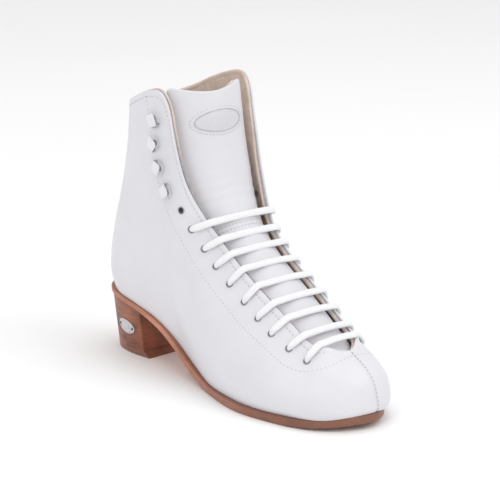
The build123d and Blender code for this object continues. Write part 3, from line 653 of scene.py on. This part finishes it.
def stitches(name, line, normals_at, material=SHADED_THREAD, pitch=2.5, length=1.75, sink=0.12, body="boot",
             slot="white_leather", holes=False):
    """Threads lying on a surface, one after the other, each with a dark disc at its start if asked, painted as the
    shade in a needle hole.
    """
    marks = resample(line, pitch)
    normals = np.array([normals_at(p) for p in marks])
    threads, needle_hole_shades = [], []
    for a, b, na, nb in zip(marks, marks[1:], normals, normals[1:]):
        n, t = unit(na + nb), unit(b - a)
        side = np.cross(n, t) * THREAD_RADIUS
        threads += [(a + b) / 2 + t * place * length + side * math.cos(turn) * size
                    + n * (math.sin(turn) * THREAD_RADIUS * size + height - sink)
                    for place, size, height in THREAD_RINGS for turn in SIXTHS]
        side = np.cross(na, t) * HOLE_WIDE
        needle_hole_shades += [a + (t * math.cos(turn) * HOLE_LONG + side * math.sin(turn)) * size + na * height
                         for size, height in HOLE_RINGS for turn in SIXTHS]
    pieces = [(name, threads, len(THREAD_RINGS), material)]
    if holes:
        pieces.append((name + "_needle_hole_shades", needle_hole_shades, len(HOLE_RINGS), NEEDLE_HOLE_SHADE))
    for title, points, rings, surface in pieces:
        faces = [face for i in range(len(marks) - 1) for face in tube_faces(i * rings * 6, rings, 6)]
        place_piece(clean(make(title, points, faces, surface)), body, slot)


def edge_line(side, drop, start, end):
    """A line on the skin along the throat and the collar, at a distance below the edge."""
    places = np.arange(start, end, 1.0)
    if side > 0:
        places = COUNT - places
    return np.array([at(p, [drop])[0][0] for p in places])


STITCH_START, STITCH_END = 6, 26     # columns without stitches next to the back seam and to the toe seam
TOE_SEAM_ASIDE = 0.6        # columns from the toe seam to its row of stitches
LINING_THREAD_DEPTH = 4.45
SEAM_LINE = [(-37, -43.5, 194), (-37.1, -45.2, 185.2), (-37.1, -47.9, 169.7), (-37.1, -50.9, 150.6),
             (-37.2, -55.2, 136.1), (-37.4, -61.4, 123.7), (-38, -68.3, 113.2), (-38.4, -77.6, 103.5),
             (-37.6, -91.4, 88), (-36.9, -101.1, 78.8), (-36.7, -110.8, 71.2), (-36.7, -125.3, 61.9),
             (-37.4, -140.3, 53.5), (-37.2, -156.7, 46.4), (-36.4, -169.9, 40), (-34.5, -178.8, 35.9),
             (-30.3, -190.7, 35.2), (-23.1, -201.4, 39), (-10.4, -204.8, 42.3), (-1.5, -205.2, 43.2)]
for name, side in SIDES.items():
    stitches(f"edge_stitches_{name}", edge_line(side, EDGE_STITCH, STITCH_START, HALF - STITCH_END),
             skin_normal, pitch=2.9, length=1.7, sink=0.2)
    run = run_along(SEAM_LINE)
    dense = cubic(run, SEAM_LINE, np.linspace(0, run[-1], 200)) * np.array([-side, 1, 1])
    line = np.array([p + n * ripple(p) for p, n in map(on_skin, dense)])
    stitches(f"facing_stitches_{name}", line, skin_normal, pitch=2.9, length=1.7)
    edge = edge_line(side, LINING_STITCH, STITCH_START, HALF - 1)
    stitches(f"lining_stitches_{name}", np.array([p - skin_normal(p) * LINING_THREAD_DEPTH for p in edge]),
             lambda p: -skin_normal(p), BEIGE_THREAD, slot="lining")


seam = [at(HALF + TOE_SEAM_ASIDE, [drop]) for drop in np.linspace(2, length_of(HALF) - 4, 60)]
stitches("toe_seam_stitches", np.array([p[0] + n[0] * ripple(p[0]) for p, n in seam]), skin_normal,
         pitch=2.6, length=1.5)


# ---- back stay
def across_seam(drop, reach):
    """Column that lies a distance from the back seam, at a distance below the edge."""
    span = np.arange(-40, 41)
    run = run_along([at(c % COUNT, [drop])[0][0] for c in span])
    return np.interp(reach, run - run[40], span)


# Half width of the stay by the distance below its top, and its thickness
STAY = [(0.6, 10.5), (25, 9), (60, 7.6), (90, 8.4), (112, 11), (122, 15.5), (136, 16)]
STAY_PROUD, STAY_SUNK = 1.15, 0.4


def back_stay():
    drops = np.concatenate([[1.0, 1.2, 1.6, 2.4], np.linspace(5, length_of(0), 36)])
    outer, inner = [], []
    share = np.array([-1, -0.99, -0.95, -0.88, -0.75, -0.5, -0.25, 0, 0.25, 0.5, 0.75, 0.88, 0.95, 0.99, 1])
    for drop in drops:
        half = np.interp(drop, *zip(*STAY))
        edge_height = np.interp(1 - np.abs(share), [0, 0.05, 0.12, 1], [0.05, 0.75, 0.95, 1.0])
        top = np.interp(drop, [1.0, 1.2, 1.6, 2.4], [0.1, 0.7, 0.95, 1.0])
        found = [at(c % COUNT, [drop]) for c in across_seam(drop, share * half)]
        points, normals = np.array([f[0][0] for f in found]), np.array([f[1][0] for f in found])
        outer.append(points + normals * (STAY_PROUD * edge_height * top)[:, None])
        inner.append(points - normals * STAY_SUNK)
    return np.array(outer), np.array(inner)


stay_outer, stay_inner = back_stay()
stay = shell("back_stay_leather", stay_outer, stay_inner, WHITE)
place_piece(stay, "boot", "white_leather", "back_stay")
for label, column in (("lateral", 2), ("medial", -3)):
    stitches(f"back_stay_stitches_{label}", stay_outer[4:-2, column], skin_normal, sink=0.1, holes=True)


# ---- eyelets and hooks
EYELET_PROFILE = [(1.85, -4.5), (1.85, 0.05), (1.92, 0.24), (2.1, 0.34), (2.35, 0.32), (2.58, 0.2),
                  (2.66, 0.0), (2.5, -0.1), (2.42, -0.4), (2.42, -4.5)]
for name in SIDES:
    turned = lathe(EYELET_PROFILE, eyelet_seats[name], ends="joined")
    place_piece(clean(make(f"eyelet_rings_{name}", *turned, STEEL)), "boot", "eyelet_metal", f"eyelets_{name}")


THROAT_NEAR = 35


def along_skin(direction, normal):
    return unit(direction - normal * (direction @ normal))


def throat_direction(point, normal, slant=0.35):
    """Where a lace leaves towards the throat, and the point of the throat's edge that it crosses.

    The way lies between straight across the boot and the shortest way to the edge.
    """
    edges = GRID[:, 0]
    same = edges[np.sign(edges[:, 0]) == np.sign(point[0])]
    gaps = np.linalg.norm(same - point, axis=1)
    away = unit(same[np.argmin(gaps)] - point)
    across = along_skin(np.array([-np.sign(point[0]), 0, 0]), normal)
    direction = along_skin(mix(across, along_skin(away, normal), slant), normal)
    near = same[gaps < THROAT_NEAR]
    return direction, near[np.argmin(np.abs((near - point) @ np.cross(direction, normal)))]


HOOK_PATH = [(-4.6, 0.40), (-2.8, 0.36), (0, 0.36), (1.9, 0.40), (3.1, 0.62), (3.9, 1.25), (4.15, 2.0),
             (3.9, 2.8), (3.1, 3.4), (1.9, 3.65), (0, 3.7), (-1.9, 3.8), (-3.6, 4.05), (-4.8, 4.6)]
HOOK_WIDTHS = [4.6, 6.8, 7.6, 7.4, 7.0, 6.8, 6.8, 6.8, 7.0, 7.6, 8.2, 8.4, 8.0, 6.6]
HOOK_FORWARD, HOOK_SHEET = 1.8, 0.55
HOOK_STEPS, HOOK_SIDES, HOOK_BEND = 40, 20, (10, 21)    # the rings of the bend are painted grey as the shade inside the fold
RIVET_DOME = [(0.05, 1.55), (0.9, 1.45), (1.6, 1.1), (1.9, 0.6), (1.9, -1.2)]


def hook(name, centre, normal):
    """A folded strip of sheet that opens away from the throat."""
    direction, _ = throat_direction(centre, normal)
    path = np.array([centre + direction * (a + HOOK_FORWARD) + normal * h for a, h in HOOK_PATH])
    ups = np.cross(unit(np.gradient(path, axis=0)), np.cross(direction, normal))
    knots, fine = np.arange(len(path)), np.linspace(0, len(path) - 1, HOOK_STEPS)
    widths = cubic(knots, np.array(HOOK_WIDTHS)[:, None], fine)[:, 0]
    made = sweep(name, cubic(knots, path, fine), unit(cubic(knots, ups, fine)), widths,
                 np.full(HOOK_STEPS, HOOK_SHEET), ENAMEL, HOOK_SIDES, power=5)
    # second material: painted shade on the rings of the bend
    made.data.materials.append(PAINTED_SHADE_GREY)
    for face in made.data.polygons:
        bent = HOOK_BEND[0] <= face.index // HOOK_SIDES <= HOOK_BEND[1]
        face.material_index = 1 if bent and len(face.vertices) == 4 else 0
    return made


for name in SIDES:
    for number, seat in enumerate(hook_seats[name], start=1):
        replaced = [f"hooks_{name}", f"hook_rivets_{name}"] if number == 1 else []
        place_piece(hook(f"lace_hook_{name}_{number}", *seat), "boot", "hook_enamel", *replaced)
    heads = clean(make(f"hook_rivet_heads_{name}", *lathe(RIVET_DOME, hook_seats[name], 20), STEEL))
    place_piece(heads, "boot", "steel")


# ---- tongue
TONGUE = np.array([(-203, 34.5, 34, 18, 16), (-192, 40.5, 34, 20, 17), (-180, 49, 33, 23, 18.5),
                   (-164, 60.3, 32, 23.5, 20), (-147, 72, 32, 24, 21), (-121, 89.5, 32, 24, 21.5),
                   (-104, 105.5, 32, 25, 23), (-94, 121, 33, 26, 25.5), (-87, 136.5, 34, 27.5, 28.5),
                   (-80.5, 158, 35, 29.5, 30), (-76.5, 180, 36, 31, 29.5), (-74, 201, 37, 31, 26.5)])
TONGUE_RUN = run_along(TONGUE[:, :2])
MEDIAL_FLATTER = 0.32       # how much larger the radius of its inner half grows above the lace
FLATTER_FROM, FLATTER_TO = 108, 144


def tongue_station(run):
    """Point of the centre line, the way out of the tongue there, its radius and its reach to each side."""
    ahead, behind, here = cubic(TONGUE_RUN, TONGUE, [min(run + 0.5, TONGUE_RUN[-1]), max(run - 0.5, 0), run])
    along = unit((ahead - behind)[:2])
    return np.array([0, *here[:2]]), np.array([0, -along[1], along[0]]), here[2], here[3:]


def tongue_point(run, x):
    """Point and normal of the tongue's outer face; x is the distance from the centre line."""
    centre, up, radius = tongue_station(run)[:3]
    if x > 0:
        share = (centre[2] - FLATTER_FROM) / (FLATTER_TO - FLATTER_FROM)
        radius *= 1 + MEDIAL_FLATTER * min(max(share, 0), 1)
    height = math.sqrt(max(radius ** 2 - x ** 2, 0)) - radius
    normal = unit(np.array([x, 0, 0]) + up * (height + radius))
    return centre + np.array([x, 0, 0]) + up * height, normal


def seam_run():
    """Where the cross seam of the tongue lies, between the two upper bars of the lace."""
    rows = [np.array([0, *EYELETS[i]]) for i in (LACED_ROWS - 2, LACED_ROWS - 1)]
    runs = np.linspace(0, TONGUE_RUN[-1], 400)
    crowns = np.array([tongue_station(r)[0] for r in runs])
    return np.mean([runs[np.argmin(np.linalg.norm(crowns - row, axis=1))] for row in rows])


SEAM_RUN = seam_run()
TONGUE_CORNER, TONGUE_DIP = 2.5, 4.5     # roundness of its upper corners, sag of its upper edge
LACED_BULGE = 1.9           # how far the padding swells up between the two edges of the throat


def laced_bulge(run, gap):
    """Swell of the padding under the lace, at a distance from the tongue's own edge."""
    share = min(max((SEAM_RUN + 25 - run) / 30, 0), 1)
    return LACED_BULGE * share ** 2 * (3 - 2 * share) * (1 - np.exp(-gap / 5))


def tongue_layer(name, outer_depth, inner_depth, material, margin=0.0, top_inset=0.0, puff=0.0):
    """A sheet between two depths under the tongue's face; a puffed one swells, creases and shows its seams."""
    total = TONGUE_RUN[-1] - top_inset
    near = np.array([0, 0.08, 0.3, 0.7, 1.3, 2.2, 3.5, 4.8, 5.6, 6.6])
    edge = np.array([0, 0.05, 0.25, 0.6, 1.1, 2.0, 3.2, 5.0])
    runs = np.concatenate([np.linspace(0, total - 8, 110), total - near[::-1]])
    outer, inner = [], []
    for run in runs:
        from_top = total - run
        left, right = tongue_station(run)[3] - margin - round_edge(from_top, 2 * TONGUE_CORNER)
        xs = np.concatenate([-left + edge, np.linspace(-left + 7, right - 7, 26), right - edge[::-1]])
        gap = np.minimum(np.minimum(xs + left, right - xs), from_top)
        rounding = round_edge(gap, inner_depth - outer_depth)
        swell = puff * (1 - np.exp(-np.minimum(gap, 30) / 6)) * (1 - math.exp(-((run - SEAM_RUN) / 3.5) ** 2))
        swell = swell + laced_bulge(run, gap) * (puff > 0)
        crease = 0.22 * math.exp(-((run - SEAM_RUN - 22) / 14) ** 2) * math.sin((run - SEAM_RUN) * 0.9)
        stitch = 0.18 * np.exp(-((gap - 3.2) / 0.6) ** 2) if puff else 0
        dips = TONGUE_DIP * np.clip(1 - ((xs + 3) / 26) ** 2, 0, 1) * np.clip(1 - from_top / 40, 0, 1) ** 2
        points, normals = map(np.array, zip(*[tongue_point(run - dip, x) for x, dip in zip(xs, dips)]))
        depth = outer_depth + rounding - swell - crease * (puff > 0) + stitch
        outer.append(points - normals * depth[:, None])
        inner.append(points - normals * (inner_depth - rounding)[:, None])
    return shell(name, np.array(outer), np.array(inner), material)


def place_tongue(obj, slot, *replaced):
    """Bakes a piece's transform into its mesh and hides the nodes of the frame that it stands for."""
    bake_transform(obj)
    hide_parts(*replaced)


place_tongue(tongue_layer("tongue_cover", 0, 2.2, TONGUE_WHITE_SHADED, puff=0.55), "white_leather",
             "tongue_lower_leather", "tongue_upper_leather")
place_tongue(tongue_layer("tongue_back", 2.0, 5.9, LINING, margin=0.5, top_inset=0.6), "lining",
             "tongue_lower_padding", "tongue_upper_padding", "tongue_lower_lining", "tongue_upper_lining")
CROWN_RUNS = np.linspace(0, TONGUE_RUN[-1], 500)
TONGUE_CROWNS = np.array([tongue_station(r)[0] for r in CROWN_RUNS])


def nearest_crown(point):
    return np.argmin(np.linalg.norm(TONGUE_CROWNS[:, 1:] - point[1:], axis=1))


def tongue_normal_at(point):
    return tongue_point(CROWN_RUNS[nearest_crown(point)], point[0])[1]


def tongue_line(spots, lift):
    return np.array([p + n * lift for p, n in (tongue_point(*spot) for spot in spots)])


SEAM_HALF, SEAM_LIFT = 1.5, 0.32    # half the distance between the cross seam's two rows; their height
for number, offset in enumerate((-SEAM_HALF, SEAM_HALF), start=1):
    run = SEAM_RUN + offset
    left, right = tongue_station(run)[3]
    line = np.concatenate([tongue_line([(run, x)], laced_bulge(run, min(x + left, right - x)) + SEAM_LIFT)
                           for x in np.linspace(-20, 17, 40)])
    stitches(f"tongue_seam_stitches_{number}", line, tongue_normal_at, SHADED_SEAM_THREAD, pitch=2.7, length=1.5,
             sink=0.05)


# ---- tongue patch
PATCH_CENTRE_Z, PATCH_X, PATCH_LONG, PATCH_HIGH = 176.5, 0.3, 22.8, 10.4
PATCH_RUN = CROWN_RUNS[np.argmin(np.abs(TONGUE_CROWNS[:, 2] - PATCH_CENTRE_Z))]
PATCH_SIDES, RIM_STEPS = 72, 120


def oval_spots(long, high, count):
    return [(PATCH_RUN + high * math.sin(t), PATCH_X + long * math.cos(t))
            for t in np.linspace(0, 2 * math.pi, count)]


def oval_piece(name, long, high, base, height, material, rounding=0.5):
    """An oval pad lying on the tongue, with a rounded rim."""
    top = base + height
    rings = [(1.0, base), (1.0, top - rounding), (1 - 0.3 * rounding / high, top - rounding * 0.3),
             (1 - rounding / high, top), (0.8, top + 0.12), (0.5, top + 0.22), (0.2, top + 0.25)]
    points = [tongue_line(oval_spots(long * size, high * size, PATCH_SIDES + 1)[:-1], lift) for size, lift in rings]
    return clean(make(name, np.concatenate(points), tube_faces(0, len(rings), PATCH_SIDES), material))


patch = oval_piece("tongue_patch_pad", PATCH_LONG, PATCH_HIGH, -0.3, 0.85, TONGUE_WHITE_SHADED)
place_piece(patch, "tongue", "white_leather", "tongue_patch")
raised = oval_piece("tongue_patch_oval", PATCH_LONG - 3.9, PATCH_HIGH - 3.4, 0.3, 0.45, SATIN, 0.3)
place_piece(raised, "tongue", "white_leather")
stitches("tongue_patch_stitches", tongue_line(oval_spots(PATCH_LONG - 0.9, PATCH_HIGH - 0.9, 160), 0.62),
         tongue_normal_at, SHADED_SEAM_THREAD, pitch=2.4, length=1.3, body="tongue", sink=0.05)
# A grey ring round the inner oval: painted shade along its edge
shade_ring_path = tongue_line(oval_spots(PATCH_LONG - 3.6, PATCH_HIGH - 3.1, RIM_STEPS), 0.78)
rim = sweep("tongue_patch_shade_ring", shade_ring_path, [tongue_normal_at(p) for p in shade_ring_path], np.full(RIM_STEPS, 0.6),
            np.full(RIM_STEPS, 0.5), PAINTED_SHADE_GREY, 8, power=2)
place_piece(rim, "tongue", "white_leather")


# ---- lace
def crown_under(seat_point):
    """The nearest point of the tongue's centre line, and the way to it seen from the side."""
    crown = TONGUE_CROWNS[nearest_crown(seat_point)]
    return crown, unit([0, *(crown[1:] - seat_point[1:])])


LACE_WIDE, LACE_HIGH, LACE_ROUND = 5.0, 2.7, 3.4
ARCH = 3.0                  # least height of a bar over the two edges of the throat


def half_bar(seat_place, edge, top, lift):
    """From inside a hole, out, along the leather and over its edge, as rows of point, up, width, height."""
    point, normal = seat_place
    direction, _ = throat_direction(point, normal)
    rows = [(point - normal * 7.5, -direction, LACE_ROUND, LACE_ROUND),
            (point - normal * 3.5, -direction, LACE_ROUND, LACE_ROUND),
            (point + direction * 0.3 - normal * 0.3, -direction * 0.9 + normal * 0.2, LACE_ROUND, LACE_ROUND),
            (point + direction * 1.9 + normal * 1.5, normal - direction * 0.4, LACE_ROUND + 0.8, 3.2)]
    p, n = on_skin(point + (edge - point) * 0.5)
    rows.append((p + n * 2.0, n, LACE_WIDE, LACE_HIGH))
    corner_up = unit(normal + lift)
    base = edge + corner_up * 1.5
    rows.append((base, corner_up, LACE_WIDE, LACE_HIGH))
    for share in (0.68, 0.3):
        drop = share ** 2.0
        rows.append((np.array([edge[0] * share, mix(top[1], base[1], drop), mix(top[2], base[2], drop)]),
                     unit(lift + np.array([edge[0] * share / 50, 0, 0])), LACE_WIDE, LACE_HIGH))
    return rows


def lace_rows():
    rows = []
    for i in range(LACED_ROWS):
        ends = [eyelet_seats["lateral"][i], eyelet_seats["medial"][i]]
        edges = [throat_direction(*end)[1] for end in ends]
        middle = (edges[0] + edges[1]) / 2
        crown, lift = crown_under(ends[0][0])
        rise = max((crown - middle) @ lift + LACE_HIGH / 2 + 0.7, ARCH) + rng.uniform(-0.3, 0.4)
        top = middle + lift * rise
        bar = half_bar(ends[0], edges[0], top, lift) + half_bar(ends[1], edges[1], top, lift)[::-1]
        rows += bar if i % 2 == 0 else bar[::-1]
    return rows


def smooth_rows(rows, spacing=0.8):
    """A curve through the rows' points that doesn't overshoot where they lie close together."""
    path = np.array([r[0] for r in rows])
    rest = np.array([[*unit(r[1]), r[2], r[3]] for r in rows])
    fine, parts = [], []
    for i in range(len(rows) - 1):
        count = max(int(np.linalg.norm(path[i + 1] - path[i]) / spacing), 2)
        t = np.linspace(0, 1, count, endpoint=False)[:, None]
        k = [max(i - 1, 0), i, i + 1, min(i + 2, len(rows) - 1)]
        p0, p1, p2, p3 = path[k]
        t01, t12, t23 = (max(math.sqrt(np.linalg.norm(d)), 1e-3) for d in (p1 - p0, p2 - p1, p3 - p2))
        m1 = (p2 - p1) + t12 * ((p1 - p0) / t01 - (p2 - p0) / (t01 + t12))
        m2 = (p2 - p1) + t12 * ((p3 - p2) / t23 - (p3 - p1) / (t12 + t23))
        a, b = 2 * (p1 - p2) + m1 + m2, -3 * (p1 - p2) - 2 * m1 - m2
        fine.append(a * t ** 3 + b * t ** 2 + m1 * t + p1)
        parts.append(rest[i] + (rest[i + 1] - rest[i]) * (t * t * (3 - 2 * t)))
    return np.concatenate(fine), np.concatenate(parts)


path, rest = smooth_rows(lace_rows())
lace = sweep("lace_cord", path, rest[:, :3], rest[:, 3], rest[:, 4], COTTON, 16, power=2.3)
place_piece(lace, "boot", "lace", "lace")


# ---- outsole
sole_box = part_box("outsole")


def sole_heights():
    """Top and underside of the outsole along Y, read from the frame's own mesh."""
    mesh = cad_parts["outsole"].data
    tree = BVHTree.FromPolygons([v.co / MM for v in mesh.vertices],
                                [tuple(p.vertices) for p in mesh.polygons])
    ys = np.linspace(sole_box[0].y / MM + 3, sole_box[1].y / MM - 3, 160)
    tops, bottoms = [], []
    for y in ys:
        tops.append(tree.ray_cast(Vector((0, y, 90)), Vector((0, 0, -1)))[0].z)
        bottoms.append(tree.ray_cast(Vector((0, y, -20)), Vector((0, 0, 1)))[0].z)
    return ys, np.array(tops), np.array(bottoms)


sole_y, sole_tops, sole_bottoms = sole_heights()
SOLE_BACK, SOLE_FRONT = 29, -226.5
# How much lighter the stain is along Y
SOLE_TONES = [(-226, 0.74), (-190, 0.78), (-150, 0.92), (-115, 1.15), (-85, 1.55), (-55, 1.7), (-20, 1.5),
              (30, 1.4)]
OUTLINE_LATERAL = [(14.8, 24.6), (24.6, 9.6), (27.2, -8), (29, -40), (31.5, -65), (36, -92), (44, -120),
                   (49.3, -147), (46.8, -173), (38.5, -202), (22, -220.5)]
OUTLINE_MEDIAL = [(14.8, 24.6), (24.6, 9.6), (27.2, -8), (26, -40), (25.5, -65), (29.5, -93), (37.5, -125),
                  (40, -155), (35.7, -182), (26.8, -203), (14.8, -218)]


def sole_plan(count=300):
    ring = [(0, SOLE_BACK)] + [(-x, y) for x, y in OUTLINE_LATERAL] + [(0, SOLE_FRONT)]
    ring += [(x, y) for x, y in reversed(OUTLINE_MEDIAL)]
    ring = np.array(ring, float)
    knots = run_along([*ring, ring[0]])
    return closed_cubic(knots, ring, np.linspace(0, knots[-1], count, endpoint=False))


# Rows of the sole's section: distance inwards from the outline, share of the sole's height
SOLE_ROWS = [(9, 1), (4, 1), (2.2, 1), (1.3, 1), (0.55, 0.97), (0.12, 0.88), (0, 0.8), (0, 0.6), (0, 0.4),
             (0, 0.2), (0.15, 0.1), (0.6, 0.02), (1.4, 0), (4, 0), (9, 0)]


def sole_row(plan, share):
    top = np.interp(plan[:, 1], sole_y, sole_tops)
    bottom = np.interp(plan[:, 1], sole_y, sole_bottoms)
    return np.column_stack([plan, bottom + (top - bottom) * share])


def outsole():
    """The sole's edge with its rounded corners, closed above and below along the centre line."""
    plan = sole_plan()
    tangent = unit(np.roll(plan, -1, axis=0) - np.roll(plan, 1, axis=0))
    inward = np.stack([-tangent[:, 1], tangent[:, 0]], axis=1)
    if ((plan + inward - plan.mean(axis=0)) ** 2).sum() > ((plan - inward - plan.mean(axis=0)) ** 2).sum():
        inward = -inward
    centre = np.column_stack([np.zeros(len(plan)), np.clip(plan[:, 1], -205, 12)])
    rows = [sole_row(centre, 1), *(sole_row(plan + inward * d, share) for d, share in SOLE_ROWS),
            sole_row(centre, 0)]
    points = np.concatenate(rows)
    heights = np.repeat([1, *(share for _, share in SOLE_ROWS), 0], len(plan))
    obj = make("outsole_leather", points, tube_faces(0, len(rows), len(plan), ends="open"), OUTSOLE)
    attribute = obj.data.attributes.new("height", "FLOAT", "POINT")
    attribute.data.foreach_set("value", heights.astype(np.float32))
    tones = np.interp(points[:, 1], *zip(*SOLE_TONES))
    colours = np.column_stack([tones, tones, tones, np.ones(len(tones))]).astype(np.float32)
    obj.data.attributes.new("tone", "FLOAT_COLOR", "POINT").data.foreach_set("color", colours.ravel())
    return clean(obj, 2e-6)


sole = outsole()
sole.data.shade_smooth()
sole.data.set_sharp_from_angle(angle=math.radians(60))
place_piece(sole, "boot", "sole_leather", "outsole")


# ---- stage, light and camera
def paint(name, colour, roughness):
    material, tree, shader = new_material(name)
    link(tree, ramp(tree, noise(tree, 3, 2), [(0.3, colour), (0.7, tuple(min(c * 1.01, 1) for c in colour))]),
         shader.inputs["Base Color"])
    shader.inputs["Roughness"].default_value = roughness
    return material


FLOOR = 6.0
floor_mesh = bpy.data.meshes.new("floor")
floor_mesh.from_pydata([(-FLOOR, -FLOOR, 0), (FLOOR, -FLOOR, 0), (FLOOR, FLOOR, 0), (-FLOOR, FLOOR, 0)], [],
                       [(0, 1, 2, 3)])
floor = bpy.data.objects.new("floor", floor_mesh)
floor_mesh.materials.append(paint("floor", (0.93, 0.93, 0.93), 0.9))
scene.collection.objects.link(floor)


def area_light(name, place, target, size, power, colour=(1, 1, 1)):
    data = bpy.data.lights.new(name, "AREA")
    data.shape = "RECTANGLE"
    data.size, data.size_y = size
    data.energy = power
    data.color = colour
    obj = bpy.data.objects.new(name, data)
    scene.collection.objects.link(obj)
    obj.location = place
    obj.rotation_euler = (Vector(target) - Vector(place)).to_track_quat("-Z", "Y").to_euler()


world = bpy.data.worlds.new("studio")
scene.world = world
world.use_nodes = True
background = world.node_tree.nodes["Background"]
background.inputs["Color"].default_value = (1, 1, 1, 1)
is_camera = node(world.node_tree, "ShaderNodeLightPath")
strength = node(world.node_tree, "ShaderNodeMapRange")
strength.inputs["To Min"].default_value = 0.80
strength.inputs["To Max"].default_value = 1.0
link(world.node_tree, is_camera.outputs["Is Camera Ray"], strength.inputs["Value"])
link(world.node_tree, strength.outputs["Result"], background.inputs["Strength"])
CENTRE = (0, -0.1, 0.08)
area_light("key", (0.5, -1.6, 1.7), CENTRE, (1.4, 1.4), 12.2)
area_light("side", (-1.9, -0.4, 1.1), CENTRE, (1.2, 1.6), 6)
area_light("top", (0.0, 0.1, 2.2), CENTRE, (2.0, 2.0), 10)

camera_data = bpy.data.cameras.new("camera")
camera_data.sensor_width = 36
camera_data.lens = 135.98
camera = bpy.data.objects.new("camera", camera_data)
scene.collection.objects.link(camera)
AZIMUTH, ELEVATION, DISTANCE = math.radians(42.48), math.radians(15.27), 1.2501
TARGET = Vector((-0.00959, -0.1163, 0.09613))
away = Vector((-math.sin(AZIMUTH) * math.cos(ELEVATION), -math.cos(AZIMUTH) * math.cos(ELEVATION),
               math.sin(ELEVATION)))
camera.location = TARGET + away * DISTANCE
camera.rotation_euler = (-away).to_track_quat("-Z", "Y").to_euler()
scene.camera = camera
scene.view_settings.view_transform = "Standard"

bpy.context.view_layer.update()
